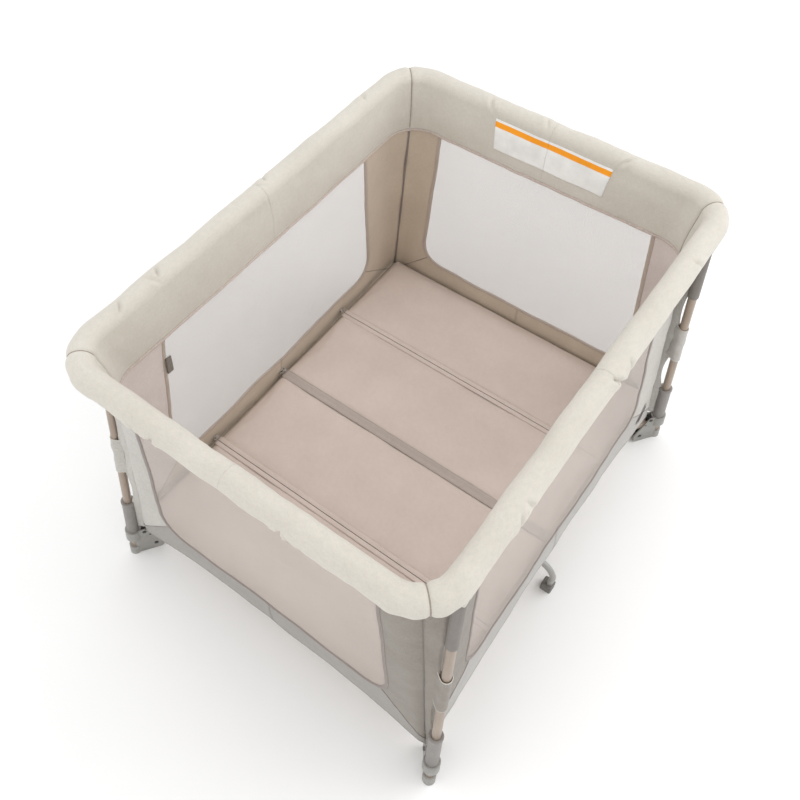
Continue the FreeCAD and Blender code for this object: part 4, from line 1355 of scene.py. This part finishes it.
def band_patch(sign, along, climb, lift):
    """Grid on a half band at the right end: places along Y, and shares of the climb from piping to rail."""
    corner = "rear_right" if sign > 0 else "front_right"
    size = RAIL_Y - sizes("rail").bend
    grid, _ = cover_grid("short", corner, along * sign / size * STRAIGHT_SHARE)
    front = grid[:, :BAND_ROWS + 1]
    rows = np.clip(climb * BAND_ROWS, 0, BAND_ROWS - 1e-6)
    low = rows.astype(int)
    part = (rows - low)[None, :, None]
    return front[:, low] * (1 - part) + front[:, low + 1] * part - np.array([lift, 0, 0])


class PLAYPEN_OT_label(bpy.types.Operator):
    """Blank label with a plain stripe, inside the right end of the pen"""

    bl_idname = "playpen.label"
    bl_label = "Label"

    def execute(self, context):
        climb = np.linspace(*LABEL_CLIMB, 30)
        middle = (climb[1:] + climb[:-1]) / 2
        stripe = ((middle > STRIPE_CLIMB[0]) & (middle < STRIPE_CLIMB[1])).astype(int)
        for name, low, high, sign in LABEL_HALVES:
            along = np.linspace(low, high, 40)
            face, back = (band_patch(sign, along, climb, lift) for lift in LABEL_LIFTS)
            finish = np.repeat(stripe[None, :], len(along) - 1, axis=0)
            shape = Shape()
            shape.shell(face, back, finish)
            piece = shape.build(f"label_{name}", [surface("label_white"), surface("label_stripe")])
            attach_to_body(piece, f"{name}_right_short_half")
        return {"FINISHED"}


SLOT_PLACE = (0.4, 0.189)           # run and height of its middle
SLOT_ROUND, SLOT_HALF = 0.0085, 0.019       # radius of its ends, and half the length between them
SLOT_LEAN = (0.79, 0.61)            # cosine and sine of its slope


class PLAYPEN_OT_wall_slot(bpy.types.Operator):
    """Stitched slot in the corner panel at the front right, its inside in near-black cloth as painted shade"""

    bl_idname = "playpen.wall_slot"
    bl_label = "Wall slot"

    def execute(self, context):
        turn = full_turn(40)
        shape = Shape()
        middle_run, middle_height = SLOT_PLACE
        # the slot's inside is near-black cloth: painted shade of the opening
        for size, lift, finish in ((1.0, 0.0042, 0), (0.66, 0.0048, 1)):        # stitched rim, then the dark inside
            rings = []
            for share in np.linspace(0.02, 1, 6):
                straight = SLOT_HALF * np.sign(np.cos(turn)) * size ** 0.3
                along = SLOT_ROUND * share * np.cos(turn) * size + straight
                across = SLOT_ROUND * size * share * np.sin(turn)
                run = middle_run + SLOT_LEAN[0] * along - SLOT_LEAN[1] * across
                height = middle_height + SLOT_LEAN[1] * along + SLOT_LEAN[0] * across
                rings.append(wall_skin("long", "front_right", run, height, lift - 0.0008 * share ** 4))
            shape.grid(np.array(rings), wrap_v=True, finish=finish)
        piece = shape.build("front_right_wall_slot", [surface("binding_cloth"), surface("dark_cloth")])
        attach(piece, "front_right_corner")
        return {"FINISHED"}


TAB_RUN, TAB_HEIGHT, TAB_FACES = (0.309, 0.323), (0.541, 0.588), (-0.0062, -0.0032)
INNER_SEAM, SEAM_WAVER = 0.0023, 0.0022     # radius of the seam inside a corner, and how far it wavers


class PLAYPEN_OT_wall_tab(bpy.types.Operator):
    """Small tab on the edge of the rear net, by the left corner, and the corner seams inside"""

    bl_idname = "playpen.wall_tab"
    bl_label = "Wall tab"

    def execute(self, context):
        run, height = np.meshgrid(np.linspace(*TAB_RUN, 6), np.linspace(*TAB_HEIGHT, 14), indexing="ij")
        shape = Shape()
        shape.shell(*(wall_skin("long", "rear_left", run, height, off) for off in TAB_FACES))
        piece = shape.build("rear_left_net_tab", [surface("tab_cloth")])
        attach(piece, "rear_left_corner")
        for corner in CORNERS:
            height = np.linspace(HEM_Z + 0.06, context.scene.pen_walls.band_foot - 0.004, 60)
            run = wall_reach("long", height)
            line = wall_skin("long", corner, run, height, -0.0022)
            line[:, :2] *= 1 - SEAM_WAVER * np.sin(height * 38)[:, None]
            shape = Shape()
            shape.sweep(line, INNER_SEAM, 8)
            piece = shape.build(f"{corner}_inner_seam", [surface("binding_cloth")])
            attach(piece, f"{corner}_corner")
        return {"FINISHED"}


# Stage

LIGHTS = (("key", (1.8, -1.9, 2.6), 2.4, 34), ("fill", (-2.4, 1.6, 2.8), 2.5, 16))      # place, size and power
LIT_PLACE = Vector((0, 0, 0.4))
CAMERA_PLACE, CAMERA_AIM = Vector((-0.917, -0.583, 1.966)), Vector((0.0708, 0.1742, 0.3976))
CAMERA_ROLL = math.radians(-0.8)
LENS = {"lens": 40.7, "sensor_width": 36, "shift_x": 0.0443, "shift_y": -0.0805}


class PLAYPEN_OT_stage(bpy.types.Operator):
    """Pale floor, soft lights and the camera"""

    bl_idname = "playpen.stage"
    bl_label = "Stage"

    def execute(self, context):
        work = bmesh.new()
        bmesh.ops.create_grid(work, x_segments=4, y_segments=4, size=12)
        mesh = bpy.data.meshes.new("studio_floor")
        work.to_mesh(mesh)
        work.free()
        mesh.materials.append(floor_paint("studio_floor_paint", (0.93, 0.93, 0.93)))
        linked("studio_floor", mesh)
        world = bpy.data.worlds.new("studio")
        world.use_nodes = True
        world.node_tree.nodes["Background"].inputs["Color"].default_value = (1, 1, 1, 1)
        world.node_tree.nodes["Background"].inputs["Strength"].default_value = 1.05
        context.scene.world = world
        context.scene.view_settings.view_transform = "Standard"
        for name, place, size, power in LIGHTS:
            light = bpy.data.lights.new(name, "AREA")
            light.size = size
            light.energy = power
            lamp = linked(name, light)
            lamp.location = place
            lamp.rotation_euler = (LIT_PLACE - lamp.location).to_track_quat("-Z", "Y").to_euler()
        camera = bpy.data.cameras.new("camera")
        for setting, value in LENS.items():
            setattr(camera, setting, value)
        eye = linked("camera", camera)
        turned = (CAMERA_AIM - CAMERA_PLACE).to_track_quat("-Z", "Y").to_matrix().to_4x4()
        eye.matrix_world = Matrix.Translation(CAMERA_PLACE) @ turned @ Matrix.Rotation(CAMERA_ROLL, 4, "Z")
        context.scene.camera = eye
        return {"FINISHED"}


OPERATORS = (PLAYPEN_OT_stage, PLAYPEN_OT_frame, PLAYPEN_OT_rail_covers, PLAYPEN_OT_walls, PLAYPEN_OT_post_loops,
             PLAYPEN_OT_floor_cloth, PLAYPEN_OT_mattress, PLAYPEN_OT_label, PLAYPEN_OT_wall_slot,
             PLAYPEN_OT_wall_tab)


class PLAYPEN_PT_panel(bpy.types.Panel):
    """The playpen's pieces and sizes"""

    bl_idname = "PLAYPEN_PT_panel"
    bl_label = "Playpen"
    bl_space_type = "VIEW_3D"
    bl_region_type = "UI"
    bl_category = "Playpen"

    def draw(self, context):
        for operator in OPERATORS:
            self.layout.operator(operator.bl_idname)
        for name, group in GROUPS.items():
            box = self.layout.box()
            for size in group.__annotations__:
                box.prop(getattr(context.scene, name), size)


def register():
    """Registers the classes and hangs the property groups on the scene."""
    for made in (*GROUPS.values(), *OPERATORS, PLAYPEN_PT_panel):
        bpy.utils.register_class(made)
    for name, group in GROUPS.items():
        setattr(bpy.types.Scene, name, PointerProperty(type=group))


def unregister():
    """Takes the property groups and the classes away again."""
    for name in GROUPS:
        delattr(bpy.types.Scene, name)
    for made in (PLAYPEN_PT_panel, *reversed(OPERATORS), *reversed(GROUPS.values())):
        bpy.utils.unregister_class(made)


def main():
    """Builds every piece in order."""
    register()
    for operator in OPERATORS:
        getattr(bpy.ops.playpen, operator.bl_idname.split(".")[1])()


if __name__ == "__main__":
    main()
